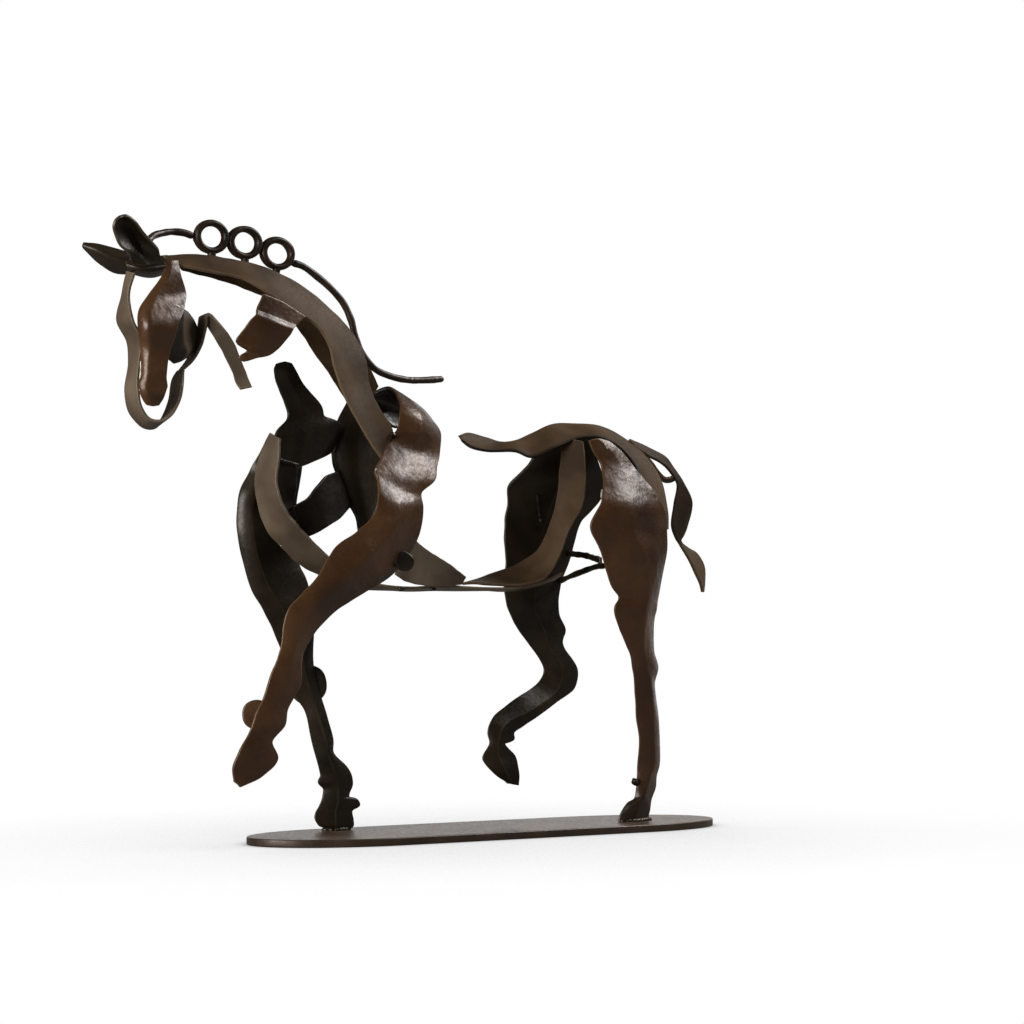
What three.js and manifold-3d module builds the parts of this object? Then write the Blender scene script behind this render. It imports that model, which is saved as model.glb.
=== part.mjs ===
import * as THREE from 'three';
import { mergeVertices } from 'three/addons/utils/BufferGeometryUtils.js';
import Module from 'manifold-3d';

// A trotting horse welded from cut and bent sheet steel, on an oval plate.
// Millimetres, +Z up, head towards -X, the horse's left (near) side towards -Y.
// The origin is the middle of the plate's underside.

const figureHeight = 229;        // top of the plate to the top of the mane rings' row
const baseLength = 220;
const baseWidth = 60;
const baseThickness = 3;
const baseEndLength = 50;        // length of each half-elliptical end
const legSheet = 1.5;            // sheet thickness of the legs and shoulders
const strapSheet = 1.2;          // sheet thickness of straps, strips and small plates
const weldGap = 0.3;             // clear space left at every welded joint
const maneRodDiameter = 2.7;
const maneRingLength = 15.2;      // over the outside of the bent rod, along the neck
const maneRingHeight = 13.1;
const maneRingRod = 2.6;         // seen along the ring's axis
const maneRingDepth = 4;         // along the ring's axis
const manePostDiameter = 2.6;
const elbowSlugDiameter = 7.6;
const elbowSlugThickness = 2;
const fetlockDiscDiameter = 11;
const kneeDiscDiameter = 15.3;
const groinBarWidth = 2.4;
const sheetSteps = 2;            // facets from one row of points to the next
const leafSteps = 3;
const frontRodSteps = 14;
const backRodSteps = 30;
const rodSectionSegments = 4;
const postSides = 10;
const discSides = 20;
const plateEndSegments = 16;

// Points of the free forms are millimetres on a figure of this height, above the plate's top.
const drawnHeight = 229;
const share = figureHeight / drawnHeight;

const wasm = await Module();
wasm.setup();

function toSolid(geometry) {
  const bare = geometry.clone();
  bare.deleteAttribute('normal');
  bare.deleteAttribute('uv');
  const merged = mergeVertices(bare, 1e-4);
  return new wasm.Manifold(new wasm.Mesh({
    numProp: 3,
    vertProperties: new Float32Array(merged.attributes.position.array),
    triVerts: new Uint32Array(merged.index.array),
  }));
}

function toGeometry(solid) {
  const mesh = solid.getMesh();
  const geometry = new THREE.BufferGeometry();
  geometry.setAttribute('position', new THREE.BufferAttribute(mesh.vertProperties, 3));
  geometry.setIndex(new THREE.BufferAttribute(mesh.triVerts, 1));
  geometry.computeVertexNormals();
  return geometry;
}

// The point in the horse's own frame, raised onto the plate.
function at([x, y, z]) {
  return new THREE.Vector3(x * share, y * share, z * share + baseThickness);
}

// Sheet steel between smooth curves: each row of points crosses the sheet, the rows follow each
// other along it, and half the thickness lies to each side. grow widens the sheet past its edges.
function sheetGeometry(rows, thickness, steps, grow = 0) {
  const columns = rows[0].length;
  const curves = [];
  for (let j = 0; j < columns; j += 1) {
    const line = rows.map((row) => at(row[j]));
    curves.push(new THREE.CatmullRomCurve3(line, false, 'centripetal'));
  }
  const count = (rows.length - 1) * steps + 1;
  const grid = [];
  for (let i = 0; i < count; i += 1) {
    grid.push(curves.map((curve) => curve.getPoint(i / (count - 1))));
  }
  const last = columns - 1;
  for (const row of grid) {
    const low = row[0].clone().sub(row[1]).setLength(grow);
    const high = row[last].clone().sub(row[last - 1]).setLength(grow);
    row[0].add(low);
    row[last].add(high);
  }
  for (let j = 0; j < columns; j += 1) {
    const start = grid[0][j].clone().sub(grid[1][j]).setLength(grow);
    const end = grid[count - 1][j].clone().sub(grid[count - 2][j]).setLength(grow);
    grid[0][j].add(start);
    grid[count - 1][j].add(end);
  }
  const points = [];
  for (const side of [1, -1]) {
    for (let i = 0; i < count; i += 1) {
      for (let j = 0; j < columns; j += 1) {
        const before = grid[Math.max(i - 1, 0)][j];
        const after = grid[Math.min(i + 1, count - 1)][j];
        const along = after.clone().sub(before);
        const across = grid[i][Math.min(j + 1, last)].clone().sub(grid[i][Math.max(j - 1, 0)]);
        const normal = along.cross(across).setLength(side * thickness / 2);
        points.push(grid[i][j].clone().add(normal));
      }
    }
  }
  const faces = [];
  const back = count * columns;
  const quad = (a, b, c, d) => faces.push(a, b, c, a, c, d);
  for (let i = 0; i < count - 1; i += 1) {
    for (let j = 0; j < last; j += 1) {
      const a = i * columns + j;
      const b = a + columns;
      quad(a, b, b + 1, a + 1);
      quad(back + a + 1, back + b + 1, back + b, back + a);
    }
    const near = i * columns;
    const far = near + last;
    quad(near + columns, near, back + near, back + near + columns);
    quad(far, far + columns, back + far + columns, back + far);
  }
  for (let j = 0; j < last; j += 1) {
    const end = (count - 1) * columns + j;
    quad(j, j + 1, back + j + 1, back + j);
    quad(end + 1, end, back + end, back + end + 1);
  }
  const geometry = new THREE.BufferGeometry();
  geometry.setFromPoints(points);
  geometry.setIndex(faces);
  return geometry;
}

// A piece and the slightly larger shape that later pieces are trimmed by.
function sheet(rows, thickness, steps = sheetSteps) {
  return {
    solid: toSolid(sheetGeometry(rows, thickness, steps)),
    trim: toSolid(sheetGeometry(rows, thickness + 2 * weldGap, steps, weldGap)),
  };
}

function rodGeometry(points, diameter, steps) {
  const section = new THREE.Shape();
  section.absarc(0, 0, diameter / 2, 0, 2 * Math.PI);
  const extrudePath = new THREE.CatmullRomCurve3(points.map(at), false, 'centripetal');
  const curveSegments = rodSectionSegments;
  return new THREE.ExtrudeGeometry(section, { steps, curveSegments, bevelEnabled: false, extrudePath });
}

function rod(points, diameter, steps) {
  return {
    solid: toSolid(rodGeometry(points, diameter, steps)),
    trim: toSolid(rodGeometry(points, diameter + 2 * weldGap, steps)),
  };
}

// A round slug or disc of sheet whose axis points sideways, turned about Z.
function disc(centre, diameter, thickness, turn) {
  const make = (extra) => {
    const radius = diameter / 2 + extra;
    const geometry = new THREE.CylinderGeometry(radius, radius, thickness + 2 * extra, discSides);
    geometry.rotateZ(turn);
    geometry.translate(...at(centre).toArray());
    return toSolid(geometry);
  };
  return { solid: make(0), trim: make(weldGap) };
}

const horse = new THREE.Group();
const fitted = [];

// Welds a piece on: it is cut back by weldGap wherever it meets a piece that is already there.
function weldOn(name, piece, colour, roughness = 0.42) {
  let solid = piece.solid;
  for (const earlier of fitted) {
    solid = solid.subtract(earlier);
  }
  const parts = solid.decompose().sort((a, b) => b.volume() - a.volume());
  fitted.push(piece.trim);
  const material = new THREE.MeshStandardMaterial({ color: colour, roughness, metalness: 0.55 });
  const mesh = new THREE.Mesh(toGeometry(parts[0]), material);
  mesh.name = name;
  horse.add(mesh);
}

const brown = 0x4a2f1e;
const greyBrown = 0x5d5148;
const shadeBlack = 0x26211c;
const plateBrown = 0x3a302a;

// Base plate: straight sides with half-elliptical ends.
function baseOutline(extra) {
  const outline = new THREE.Shape();
  const straight = baseLength / 2 - baseEndLength;
  const half = baseWidth / 2 + extra;
  const end = baseEndLength + extra;
  outline.absellipse(straight, 0, end, half, -Math.PI / 2, Math.PI / 2, false, 0);
  outline.absellipse(-straight, 0, end, half, Math.PI / 2, 3 * Math.PI / 2, false, 0);
  return outline;
}

function basePlate() {
  const make = (extra) => {
    const depth = baseThickness + extra;
    const curveSegments = plateEndSegments;
    const options = { depth, curveSegments, bevelEnabled: false };
    return toSolid(new THREE.ExtrudeGeometry(baseOutline(extra), options));
  };
  return { solid: make(0), trim: make(weldGap) };
}

weldOn('base_plate', basePlate(), plateBrown, 0.5);

// Standing foreleg on the far side, one cut sheet with a bent ridge.
const farForeleg = [
  [[-99, 9, 152], [-91, 10, 150], [-77, 19, 149]],
  [[-101, 17, 141], [-96, 13, 140], [-77, 21, 137]],
  [[-106, 18, 130], [-102, 14, 130], [-79, 21, 126]],
  [[-107, 18, 118], [-103, 14, 119], [-80, 20, 114]],
  [[-105, 18, 108], [-101, 14, 108], [-79, 19, 105]],
  [[-101, 18, 95], [-95, 15, 95], [-76, 18, 98]],
  [[-95, 18, 86], [-89, 15, 87], [-73, 18, 90]],
  [[-90, 18, 77], [-84, 15, 78], [-72, 18, 81]],
  [[-86, 18, 68], [-80, 15, 69], [-73, 18, 71]],
  [[-84, 18, 60], [-78, 15, 60], [-72, 18, 62]],
  [[-81, 18, 53], [-75, 15, 53], [-69, 17, 51]],
  [[-76.5, 18, 48], [-72.5, 15, 46], [-67.5, 17, 46.5]],
  [[-73, 18, 35], [-68.5, 15, 35], [-64, 17, 35.5]],
  [[-71, 18, 29.5], [-67.5, 15, 29.5], [-64, 17, 30.5]],
  [[-69.5, 18, 24], [-65, 15, 24.5], [-57.5, 17, 24.5]],
  [[-69, 18, 21.5], [-64, 15, 22], [-55.5, 17, 21]],
  [[-70, 18, 19], [-63.5, 15, 19.5], [-55, 17, 17.5]],
  [[-67.5, 18, 16.5], [-63, 15, 16.5], [-56.5, 17, 14.5]],
  [[-68, 18, 13.5], [-63, 15, 13.5], [-56.5, 17, 12.5]],
  [[-69, 18, 11], [-63, 15, 11.5], [-52.5, 17, 11.5]],
  [[-70, 18, 9], [-63.5, 15, 9.5], [-51.5, 17, 9.5]],
  [[-71, 18, 7.5], [-64, 15, 8], [-55, 17, 7.5]],
  [[-71.5, 18, 5], [-64, 15, 5], [-54.5, 17, 4]],
  [[-70, 18, 2.5], [-64, 15, 2], [-54.5, 17, 1.5]],
  [[-66, 18, 1], [-62.5, 16, 1], [-57, 17, 0.5]],
  [[-65.5, 18, -1], [-62.5, 16, -1], [-57, 17, -1]],
];
weldOn('far_foreleg', sheet(farForeleg, legSheet), shadeBlack);

// Raised foreleg and shoulder on the near side, one sheet whose top is rolled over.
const nearForeleg = [
  [[-129, -18, 22.5], [-127.5, -18, 21.5], [-126.5, -18, 20.5]],
  [[-130, -19, 29], [-124, -19.5, 26], [-117.5, -19, 24.5]],
  [[-127, -20, 35.5], [-120, -20.5, 33.5], [-111, -19, 30.5]],
  [[-123.5, -20, 41], [-119, -20.5, 39.5], [-113.5, -19, 37]],
  [[-121.5, -21, 47], [-115.5, -21.5, 45], [-108, -19, 43]],
  [[-118.5, -21, 53.5], [-113.5, -21.5, 51], [-107, -19, 49]],
  [[-115.5, -22, 62], [-109.5, -22.5, 60], [-102, -20, 58]],
  [[-111.5, -22, 72.5], [-107, -23.5, 70.5], [-101, -20, 69]],
  [[-109.5, -23, 85], [-103.5, -24.5, 81.5], [-95.5, -21, 78.5]],
  [[-103.5, -24, 92], [-97, -25.5, 88.5], [-86, -21, 86.5]],
  [[-96.5, -24, 98.5], [-88.5, -26.5, 95], [-74, -21, 93]],
  [[-89.5, -24, 109], [-79.5, -28, 104], [-61, -21, 100]],
  [[-79.5, -25, 115.5], [-69, -28, 113], [-51.5, -21, 110.5]],
  [[-73.5, -25, 121], [-64, -28, 119.5], [-47.5, -20, 119]],
  [[-70.5, -25, 127.5], [-62.5, -27, 126], [-47.5, -21, 125.5]],
  [[-68.5, -21.5, 135.5], [-59, -22.8, 131.5], [-47.5, -19.8, 131]],
  [[-68.5, -19.5, 139], [-56.5, -21, 136.5], [-39.5, -17.5, 136.5]],
  [[-64, -16.5, 143.5], [-52.5, -18, 142.5], [-36.5, -14.5, 141.5]],
  [[-57.5, -12.8, 152], [-48.5, -15.2, 148.5], [-33, -11, 147]],
  [[-54, -13, 156], [-45, -15.5, 155], [-30.5, -8, 156]],
  [[-52, -12, 163], [-44, -14, 161], [-32, -6, 160]],
  [[-49, -6, 168.5], [-43, -7, 166.5], [-34, -2, 165]],
  [[-48.5, 2, 173.5], [-44.5, 2, 171.5], [-38.5, 4, 169.5]],
  [[-51.5, 7, 171.5], [-45, 8, 169.5], [-37.5, 8, 167.5]],
  [[-50, 9.5, 168.5], [-43, 10, 166], [-35.5, 10, 164]],
  [[-45.5, 9, 162], [-41, 9, 160.5], [-36, 9, 160]],
  [[-42.5, 8, 159], [-40.5, 8, 158.5], [-37.5, 8, 158.5]],
];
weldOn('near_foreleg', sheet(nearForeleg, legSheet), brown, 0.35);

// Hind legs.
const nearHindLeg = [
  [[37, -16.5, 155], [40.5, -17.2, 156], [47, -16.2, 155]],
  [[38.5, -17, 151], [45, -17.8, 152.5], [54, -16.8, 150.5]],
  [[42, -17.8, 145.5], [50.5, -19, 146.5], [60, -18.3, 143.5]],
  [[40.5, -21.2, 137.5], [52, -23.2, 136.5], [68, -20.8, 134]],
  [[37, -24.3, 129.5], [51, -27, 128], [73, -20.8, 126.5]],
  [[32.5, -23, 120], [51, -27, 119], [76, -18, 118.5]],
  [[37.5, -23, 111], [56.5, -26.5, 109.5], [75.5, -18, 109]],
  [[44.5, -21.5, 96], [60.5, -25, 95.5], [73, -17, 96.5]],
  [[48.5, -21, 91.5], [60.5, -24.5, 91], [72, -16.5, 91]],
  [[46.5, -21, 88], [60, -24, 87.5], [72, -16, 87]],
  [[47, -20.5, 84.5], [60, -23.5, 83.5], [71.5, -15.5, 83.5]],
  [[49.5, -20, 79.5], [60, -23, 79], [71.5, -15, 78.5]],
  [[56.5, -18, 69], [61.5, -21, 69.5], [72, -14, 69.5]],
  [[58.5, -17.5, 63], [63.5, -20, 63.5], [74.5, -13.5, 63]],
  [[59.5, -17, 57.5], [66, -19, 58], [73, -13, 57]],
  [[61.5, -15.5, 50], [68, -18, 50], [74, -12.5, 50]],
  [[63, -14.5, 41], [69.5, -17, 41], [76.5, -11.5, 40.5]],
  [[64.5, -14, 33], [70.5, -16, 33.5], [77.5, -11, 32.5]],
  [[65.5, -12, 23.5], [71, -15, 23], [78, -10, 23]],
  [[65.5, -11.5, 18], [69.5, -14.5, 18.5], [77, -9.5, 18.5]],
  [[65.5, -11, 13.5], [69, -13.5, 14], [77, -9, 13.5]],
  [[65, -10.5, 9], [67.5, -13.5, 10], [75, -8.5, 8.5]],
  [[61.5, -10, 7], [65, -13, 6.5], [74.5, -8, 4.5]],
  [[58.5, -9, 2.5], [63.5, -12, 2], [74.5, -7, 1.5]],
  [[57.5, -9, -1], [63.5, -12, -1], [75.5, -7, -1]],
];
weldOn('near_hind_leg', sheet(nearHindLeg, legSheet), brown, 0.35);

const farHindLeg = [
  [[31, 7, 157], [44, 5, 163], [58, 5, 163]],
  [[29, 12, 148], [43, 10, 151.5], [62, 11, 151]],
  [[27.5, 17, 143.5], [44, 12, 144], [67.5, 14, 143]],
  [[24.5, 22, 137.5], [45, 16, 137.5], [69, 16, 135]],
  [[25.5, 24, 130], [44, 19, 130], [64.5, 18, 128.5]],
  [[25, 25, 123.5], [43, 21, 124], [60.5, 20, 124]],
  [[24.5, 25, 115.5], [40.5, 21, 115], [58.5, 22, 115]],
  [[25.5, 25, 106.5], [40, 21, 106.5], [56.5, 23, 107]],
  [[24.5, 25, 98], [38, 21, 97], [52, 23, 97.5]],
  [[26, 25, 88.5], [37, 21, 88], [51.5, 23, 86]],
  [[32, 25, 78.5], [42, 22, 79.5], [54.5, 23, 78.5]],
  [[40, 25, 69.5], [46, 22, 71], [53, 23, 73]],
  [[45, 25, 62], [52, 22, 63], [61, 23, 61.5]],
  [[42, 25, 56.5], [49.5, 22, 53.5], [59.5, 23, 54.5]],
  [[29.5, 24, 50], [37, 21, 46], [49, 22, 48.5]],
  [[20.5, 24, 44.5], [25.5, 21, 41.5], [32.5, 22, 39]],
  [[15.5, 23, 40], [20, 20.3, 38], [26.7, 21.3, 36]],
  [[14.5, 22.7, 36.5], [18.5, 20, 35], [26.7, 21, 33.5]],
  [[15, 22, 32], [17.8, 20, 32], [21.8, 21, 31.8]],
  [[11.5, 22, 26], [18, 20, 27], [27, 21, 26.5]],
  [[15.5, 21, 20.5], [21, 19, 20.5], [28.5, 20, 19]],
  [[23, 20, 15.5], [25.5, 20, 15], [28.5, 20, 14.5]],
];
weldOn('far_hind_leg', sheet(farHindLeg, legSheet), shadeBlack);

// The strip over the croup, twisted at the loin, running down onto the near thigh.
const croupStrip = [
  [[-14.5, 2, 156], [-13.5, 2, 155], [-13.5, 1, 154]],
  [[-8.5, 4, 157.5], [-9.5, 2, 154.5], [-11.5, -2, 151.5]],
  [[0, 4, 156], [-1.5, 1, 152.5], [-4, -3, 150]],
  [[6.5, 3, 154], [5.5, 1, 152.5], [2.5, -3, 150]],
  [[15, 4, 155], [12.5, 0, 153], [9, -5, 150]],
  [[24.5, 6, 158.5], [19.5, -1, 154], [15.5, -7, 148]],
  [[36, 7, 162.5], [28.5, -3, 157.5], [26, -9, 152]],
  [[48, 7, 163.5], [41, -3, 159.5], [37, -9, 156]],
  [[60, 6, 163], [51.5, -4, 160], [46.5, -10, 157]],
  [[69.5, 3, 158.5], [60.5, -5, 157], [52.5, -12, 155]],
  [[76.5, 0, 153.5], [66, -8, 152], [57.5, -14, 151]],
  [[80, -4, 147], [70, -11, 146], [61.5, -16, 145]],
  [[82, -8, 139], [72, -14, 138.5], [61.5, -19, 139]],
  [[81, -12, 129], [74, -16, 129.5], [65, -21, 130.5]],
  [[79, -15, 120], [76, -17, 120.5], [70.5, -21, 122]],
];
weldOn('croup_strip', sheet(croupStrip, strapSheet), greyBrown);

// The two neck strips meet at the crest and spread towards the shoulders.
const nearCrest = [
  [[-148.5, 2, 217.5], [-147.5, -3, 214]],
  [[-140.5, 2, 218.5], [-139, -5, 212.5]],
  [[-127.5, 2, 219], [-129.5, -6, 211.5]],
  [[-114, 2, 218], [-119.5, -7, 210]],
  [[-98.5, 1, 214.5], [-110.5, -9, 205.5]],
  [[-84.5, 0, 207.5], [-98, -10, 199]],
  [[-75, -1, 200.5], [-89.5, -11, 194]],
  [[-66.5, -2, 192], [-84.5, -12, 187]],
  [[-63.5, -5, 183], [-83, -13, 179.5]],
  [[-63.5, -8, 172.5], [-80, -14, 170.5]],
  [[-61, -11, 164], [-74.5, -15, 160]],
  [[-56, -13, 155.5], [-68, -16, 150]],
  [[-58.5, -14, 149.5], [-63.5, -16, 144.5]],
];
weldOn('near_crest_strip', sheet(nearCrest, strapSheet), greyBrown);

const farCrest = [
  [[-144, 5, 218], [-136.5, 9, 213.5]],
  [[-126, 5, 218.5], [-123, 10, 212]],
  [[-111.5, 5, 217.5], [-106.5, 11, 208.5]],
  [[-95.5, 5, 214.5], [-94.5, 12, 204.5]],
  [[-81.5, 5, 207], [-82.5, 14, 195.5]],
  [[-70, 5, 200], [-73, 16, 186]],
  [[-60.5, 6, 191.5], [-64.5, 17, 177]],
  [[-54, 8, 184], [-57.5, 18, 169]],
  [[-46, 12, 175], [-51, 18, 161.5]],
];
weldOn('far_crest_strip', sheet(farCrest, strapSheet), greyBrown);

// Chest strap, running on under the belly, and the strap from the flank to the croup.
const chestStrap = [
  [[-97.5, 9, 154], [-101, -4, 151]],
  [[-101.5, 9, 146.5], [-101.5, -4, 143]],
  [[-104, 9, 136.5], [-102.5, -4, 134.5]],
  [[-103, 9, 127], [-101, -5, 127]],
  [[-99, 9, 117], [-95.5, -5, 119.5]],
  [[-92.5, 9, 110.5], [-89, -5, 114]],
  [[-85, 9, 104.5], [-80, -5, 106.5]],
  [[-74, 9, 99.5], [-70, -5, 100.5]],
  [[-61, 9, 95.5], [-59, -5, 96.5]],
  [[-42.5, 9, 94.5], [-42, -5, 95]],
  [[-22.5, 9, 94.5], [-22.5, -5, 95.5]],
  [[-3, 9, 95], [-3, -5, 95]],
  [[12, 9, 94.6], [11, -5, 95.5]],
  [[26, 8, 96.2], [22, -6, 98.3]],
  [[35, 7, 98.8], [31, -7, 101.7]],
];
weldOn('chest_strap', sheet(chestStrap, strapSheet), greyBrown);

const flankStrap = [
  [[33, -4, 157], [37.5, -12, 155]],
  [[31, -5, 143.5], [37.5, -14, 141.5]],
  [[29.5, -5, 132.5], [36.5, -13, 129]],
  [[27, -3, 120], [31, -12, 119]],
  [[25, 2, 111], [27.5, -10, 109]],
  [[19, 6, 105.5], [22.5, -8, 100]],
  [[11, 9, 102], [11.5, -6, 96.5]],
  [[3, 10, 99.5], [0.5, -5, 96.5]],
  [[-7, 10, 97], [-8, -5, 96.7]],
];
weldOn('flank_strap', sheet(flankStrap, strapSheet), greyBrown);

// Breast: a plate with a post, its limb and web round an opening, and the far shoulder.
const breastPlate = [
  [[-99.5, 2, 180], [-96, 1.5, 181], [-93, 2, 180.5]],
  [[-100.5, 2, 178], [-96.5, 1, 178.5], [-91.5, 2, 178.5]],
  [[-99, 3, 173.5], [-94, 2, 174], [-86, 3.5, 172.5]],
  [[-94.5, 4, 165.5], [-88, 3, 167], [-76.5, 6, 165]],
  [[-93, 4, 160], [-85, 4, 161], [-73.5, 9, 161.5]],
  [[-99, 3, 153.5], [-86, 4, 153], [-63, 13, 158.5]],
  [[-99.5, 2, 144], [-87.5, 5, 141], [-66.5, 15, 148]],
];
weldOn('breast_plate', sheet(breastPlate, legSheet), shadeBlack);

const farShoulder = [
  [[-57.5, 17, 168], [-54.5, 15, 169.5], [-48, 17, 169]],
  [[-61.5, 17, 162], [-55, 13, 162.5], [-43, 17, 162]],
  [[-65, 17, 148.5], [-56.5, 12, 150.5], [-39.5, 18, 150]],
  [[-62.5, 17, 139.5], [-55.5, 12, 139.5], [-39.5, 18, 140]],
  [[-57, 17, 128.5], [-52, 13, 129.5], [-41.5, 18, 130]],
  [[-53, 17, 122.5], [-50.5, 14, 122.5], [-44, 18, 123.5]],
  [[-51.5, 18, 117.5], [-50, 17, 118.5], [-47, 18, 119.5]],
];
weldOn('far_shoulder', sheet(farShoulder, legSheet), shadeBlack);

const breastLimb = [
  [[-102, 2, 143], [-89, 4, 142]],
  [[-103, 1, 136], [-89, 4, 136.5]],
  [[-102, 1, 131], [-90, 3, 132]],
  [[-100.5, 1, 126], [-90.5, 3, 128.5]],
  [[-96.5, 1, 121], [-89, 3, 126]],
];
weldOn('breast_limb', sheet(breastLimb, strapSheet), shadeBlack);

const breastWeb = [
  [[-88.5, 1.8, 113], [-93, 0.8, 125.5]],
  [[-80.5, 3, 115.5], [-86, 2, 128.5]],
  [[-73, 5, 119], [-79, 5, 134]],
  [[-63.5, 11, 123], [-72, 9, 138.5]],
  [[-55, 17, 128.5], [-60.5, 16, 141.5]],
];
weldOn('breast_web', sheet(breastWeb, strapSheet), shadeBlack);

// Gusset between the elbow and the belly strap, with a round slug over its corner.
const girthGusset = [
  [[-59, -19.8, 99.5], [-50.5, -19.2, 114]],
  [[-50.5, -14, 97], [-37.5, -11, 109]],
  [[-34.5, -8.5, 95.5], [-25.5, -6.5, 104.5]],
  [[-18, -5, 96.5], [-16.5, -6, 99.5]],
];
weldOn('girth_gusset', sheet(girthGusset, strapSheet), greyBrown);
const elbowCentre = [-58.5, -25, 104.5];
const fetlockCentre = [-120, -19, 47];
const kneeCentre = [-73.8, 19.5, 57];
const discTurn = -0.5;
const elbowSlug = disc(elbowCentre, elbowSlugDiameter, elbowSlugThickness, discTurn);
const fetlockDisc = disc(fetlockCentre, fetlockDiscDiameter, strapSheet, discTurn);
const kneeDisc = disc(kneeCentre, kneeDiscDiameter, strapSheet, discTurn);
weldOn('elbow_slug', elbowSlug, shadeBlack);
weldOn('fetlock_disc', fetlockDisc, brown);
weldOn('knee_disc', kneeDisc, shadeBlack);

// Head.
const throatLeaf = [
  [[-113.5, -10.9, 204.5], [-104.5, -11.4, 202], [-94.5, -11.4, 197]],
  [[-116, -11.6, 199.5], [-108, -12.2, 197], [-98.5, -12, 194]],
  [[-116.5, -11.9, 198], [-108.5, -12.6, 195.5], [-99.5, -12.4, 193]],
  [[-117.5, -13.2, 196.5], [-110, -14, 194], [-101.5, -13.8, 191.5]],
  [[-119, -12.9, 194.5], [-112, -13.8, 191.5], [-102.5, -13.2, 189.5]],
  [[-122.5, -10.5, 189], [-115, -12, 186], [-106, -11.5, 185]],
  [[-124, -9.5, 186], [-118.5, -11, 184], [-109.5, -10.5, 182]],
  [[-119, -9, 183], [-116.5, -9.5, 182], [-114, -9.5, 180.5]],
  [[-121, -8, 181.5], [-119.5, -8.5, 180.5], [-117, -8.5, 179.5]],
  [[-121.5, -7, 180.5], [-121, -7.5, 179.5], [-119.5, -7.5, 179]],
];
weldOn('throat_leaf', sheet(throatLeaf, strapSheet, leafSteps), brown);

const facePlate = [
  [[-151, -3.5, 215], [-149, -4.5, 215], [-145.5, -3.5, 215.5]],
  [[-152.5, -4.5, 209], [-150.5, -6, 209], [-145, -4.5, 210.5]],
  [[-158, -5, 202], [-155.5, -7, 202], [-142.5, -4.5, 203]],
  [[-162, -5, 195.5], [-160, -9, 195.5], [-144.5, -7.5, 197.5]],
  [[-162.5, -5.5, 189.5], [-161.5, -11, 189.5], [-149, -10, 190]],
  [[-161, -5, 181], [-159.5, -8, 181], [-151, -8, 181.5]],
  [[-161, -5, 172], [-160, -8, 172], [-152.5, -7.8, 172]],
  [[-162, -5, 168.5], [-160.5, -7.8, 168.5], [-151.5, -7, 168]],
  [[-161.5, -5, 165], [-160, -7.5, 165], [-152.5, -7, 165.5]],
  [[-160.5, -5, 162.5], [-157, -6, 162], [-152.5, -5, 163.5]],
  [[-159, -5, 161], [-157, -5.5, 160.5], [-154, -5, 161]],
];
weldOn('face_plate', sheet(facePlate, strapSheet), brown, 0.35);

const faceStrap = [
  [[-162.5, 4, 211], [-163, -3, 209.5]],
  [[-164, 5, 202], [-164, 0, 201]],
  [[-165, 7, 193], [-164, -4, 192]],
  [[-160.5, 7, 185], [-160.5, -4, 185.5]],
  [[-160.5, 6, 177.5], [-160.5, -3, 177.5]],
  [[-162, 6, 166.5], [-161.5, -3, 167.5]],
  [[-159.5, 6, 158], [-160, -3, 160.5]],
  [[-154.5, 6, 153.5], [-156.5, -3, 156]],
  [[-150, 6, 153.5], [-152.5, -4, 155.5]],
  [[-147, 6, 156.5], [-148, -4, 158]],
  [[-143.5, 6, 164], [-145, -4, 162.5]],
  [[-142, 6, 172], [-143.5, -4, 169]],
  [[-140.5, 5, 175], [-140, 1, 175.5]],
];
weldOn('face_strap', sheet(faceStrap, strapSheet), greyBrown);

const jawStrap = [
  [[-120.5, -6.5, 168.5], [-116.5, -8.5, 169.5]],
  [[-121, -4, 171.5], [-116.5, -6.5, 172.5]],
  [[-122, -4, 175], [-117.5, -6, 175.5]],
  [[-124, -3.5, 178.5], [-119.5, -6, 179.5]],
  [[-126.5, -3, 183.5], [-122, -6, 185]],
  [[-129.5, -2.5, 188], [-126, -6, 190]],
  [[-132, 3, 196], [-133, -5, 196]],
  [[-131.5, 6, 191], [-132.5, -2, 190.5]],
  [[-133.5, 6, 184.5], [-133.5, -1, 185]],
  [[-136, 6, 179.5], [-137, 0, 179]],
  [[-139.5, 6, 175], [-139.5, 2, 176]],
];
weldOn('jaw_strap', sheet(jawStrap, strapSheet), greyBrown);

const cheekDisc = [
  [[-145, -6, 196.5], [-142.5, -3, 197.5], [-139, 1, 197]],
  [[-147, -6, 190.5], [-144, -5, 191], [-134, 4, 194]],
  [[-150, -6, 184], [-143, -4, 185.5], [-132, 5, 189.5]],
  [[-150, -5, 178.5], [-141, -3, 181.5], [-134, 4, 184.5]],
  [[-147, -3, 177], [-144, -2, 178], [-139, 1, 180]],
];
weldOn('cheek_plate', sheet(cheekDisc, strapSheet), greyBrown);

const pollPlate = [
  [[-163.5, 5, 216.5], [-165.5, -1, 212.5], [-162.5, 3, 210.5]],
  [[-158, 6, 217], [-162.5, -4, 211.5], [-158, 2, 209.5]],
  [[-152, 6, 217], [-157.5, -5, 211.5], [-153, 2, 209.5]],
  [[-145, 5, 218], [-150, -4.5, 213], [-146.5, 2, 211.5]],
];
weldOn('poll_plate', sheet(pollPlate, strapSheet), shadeBlack);

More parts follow.
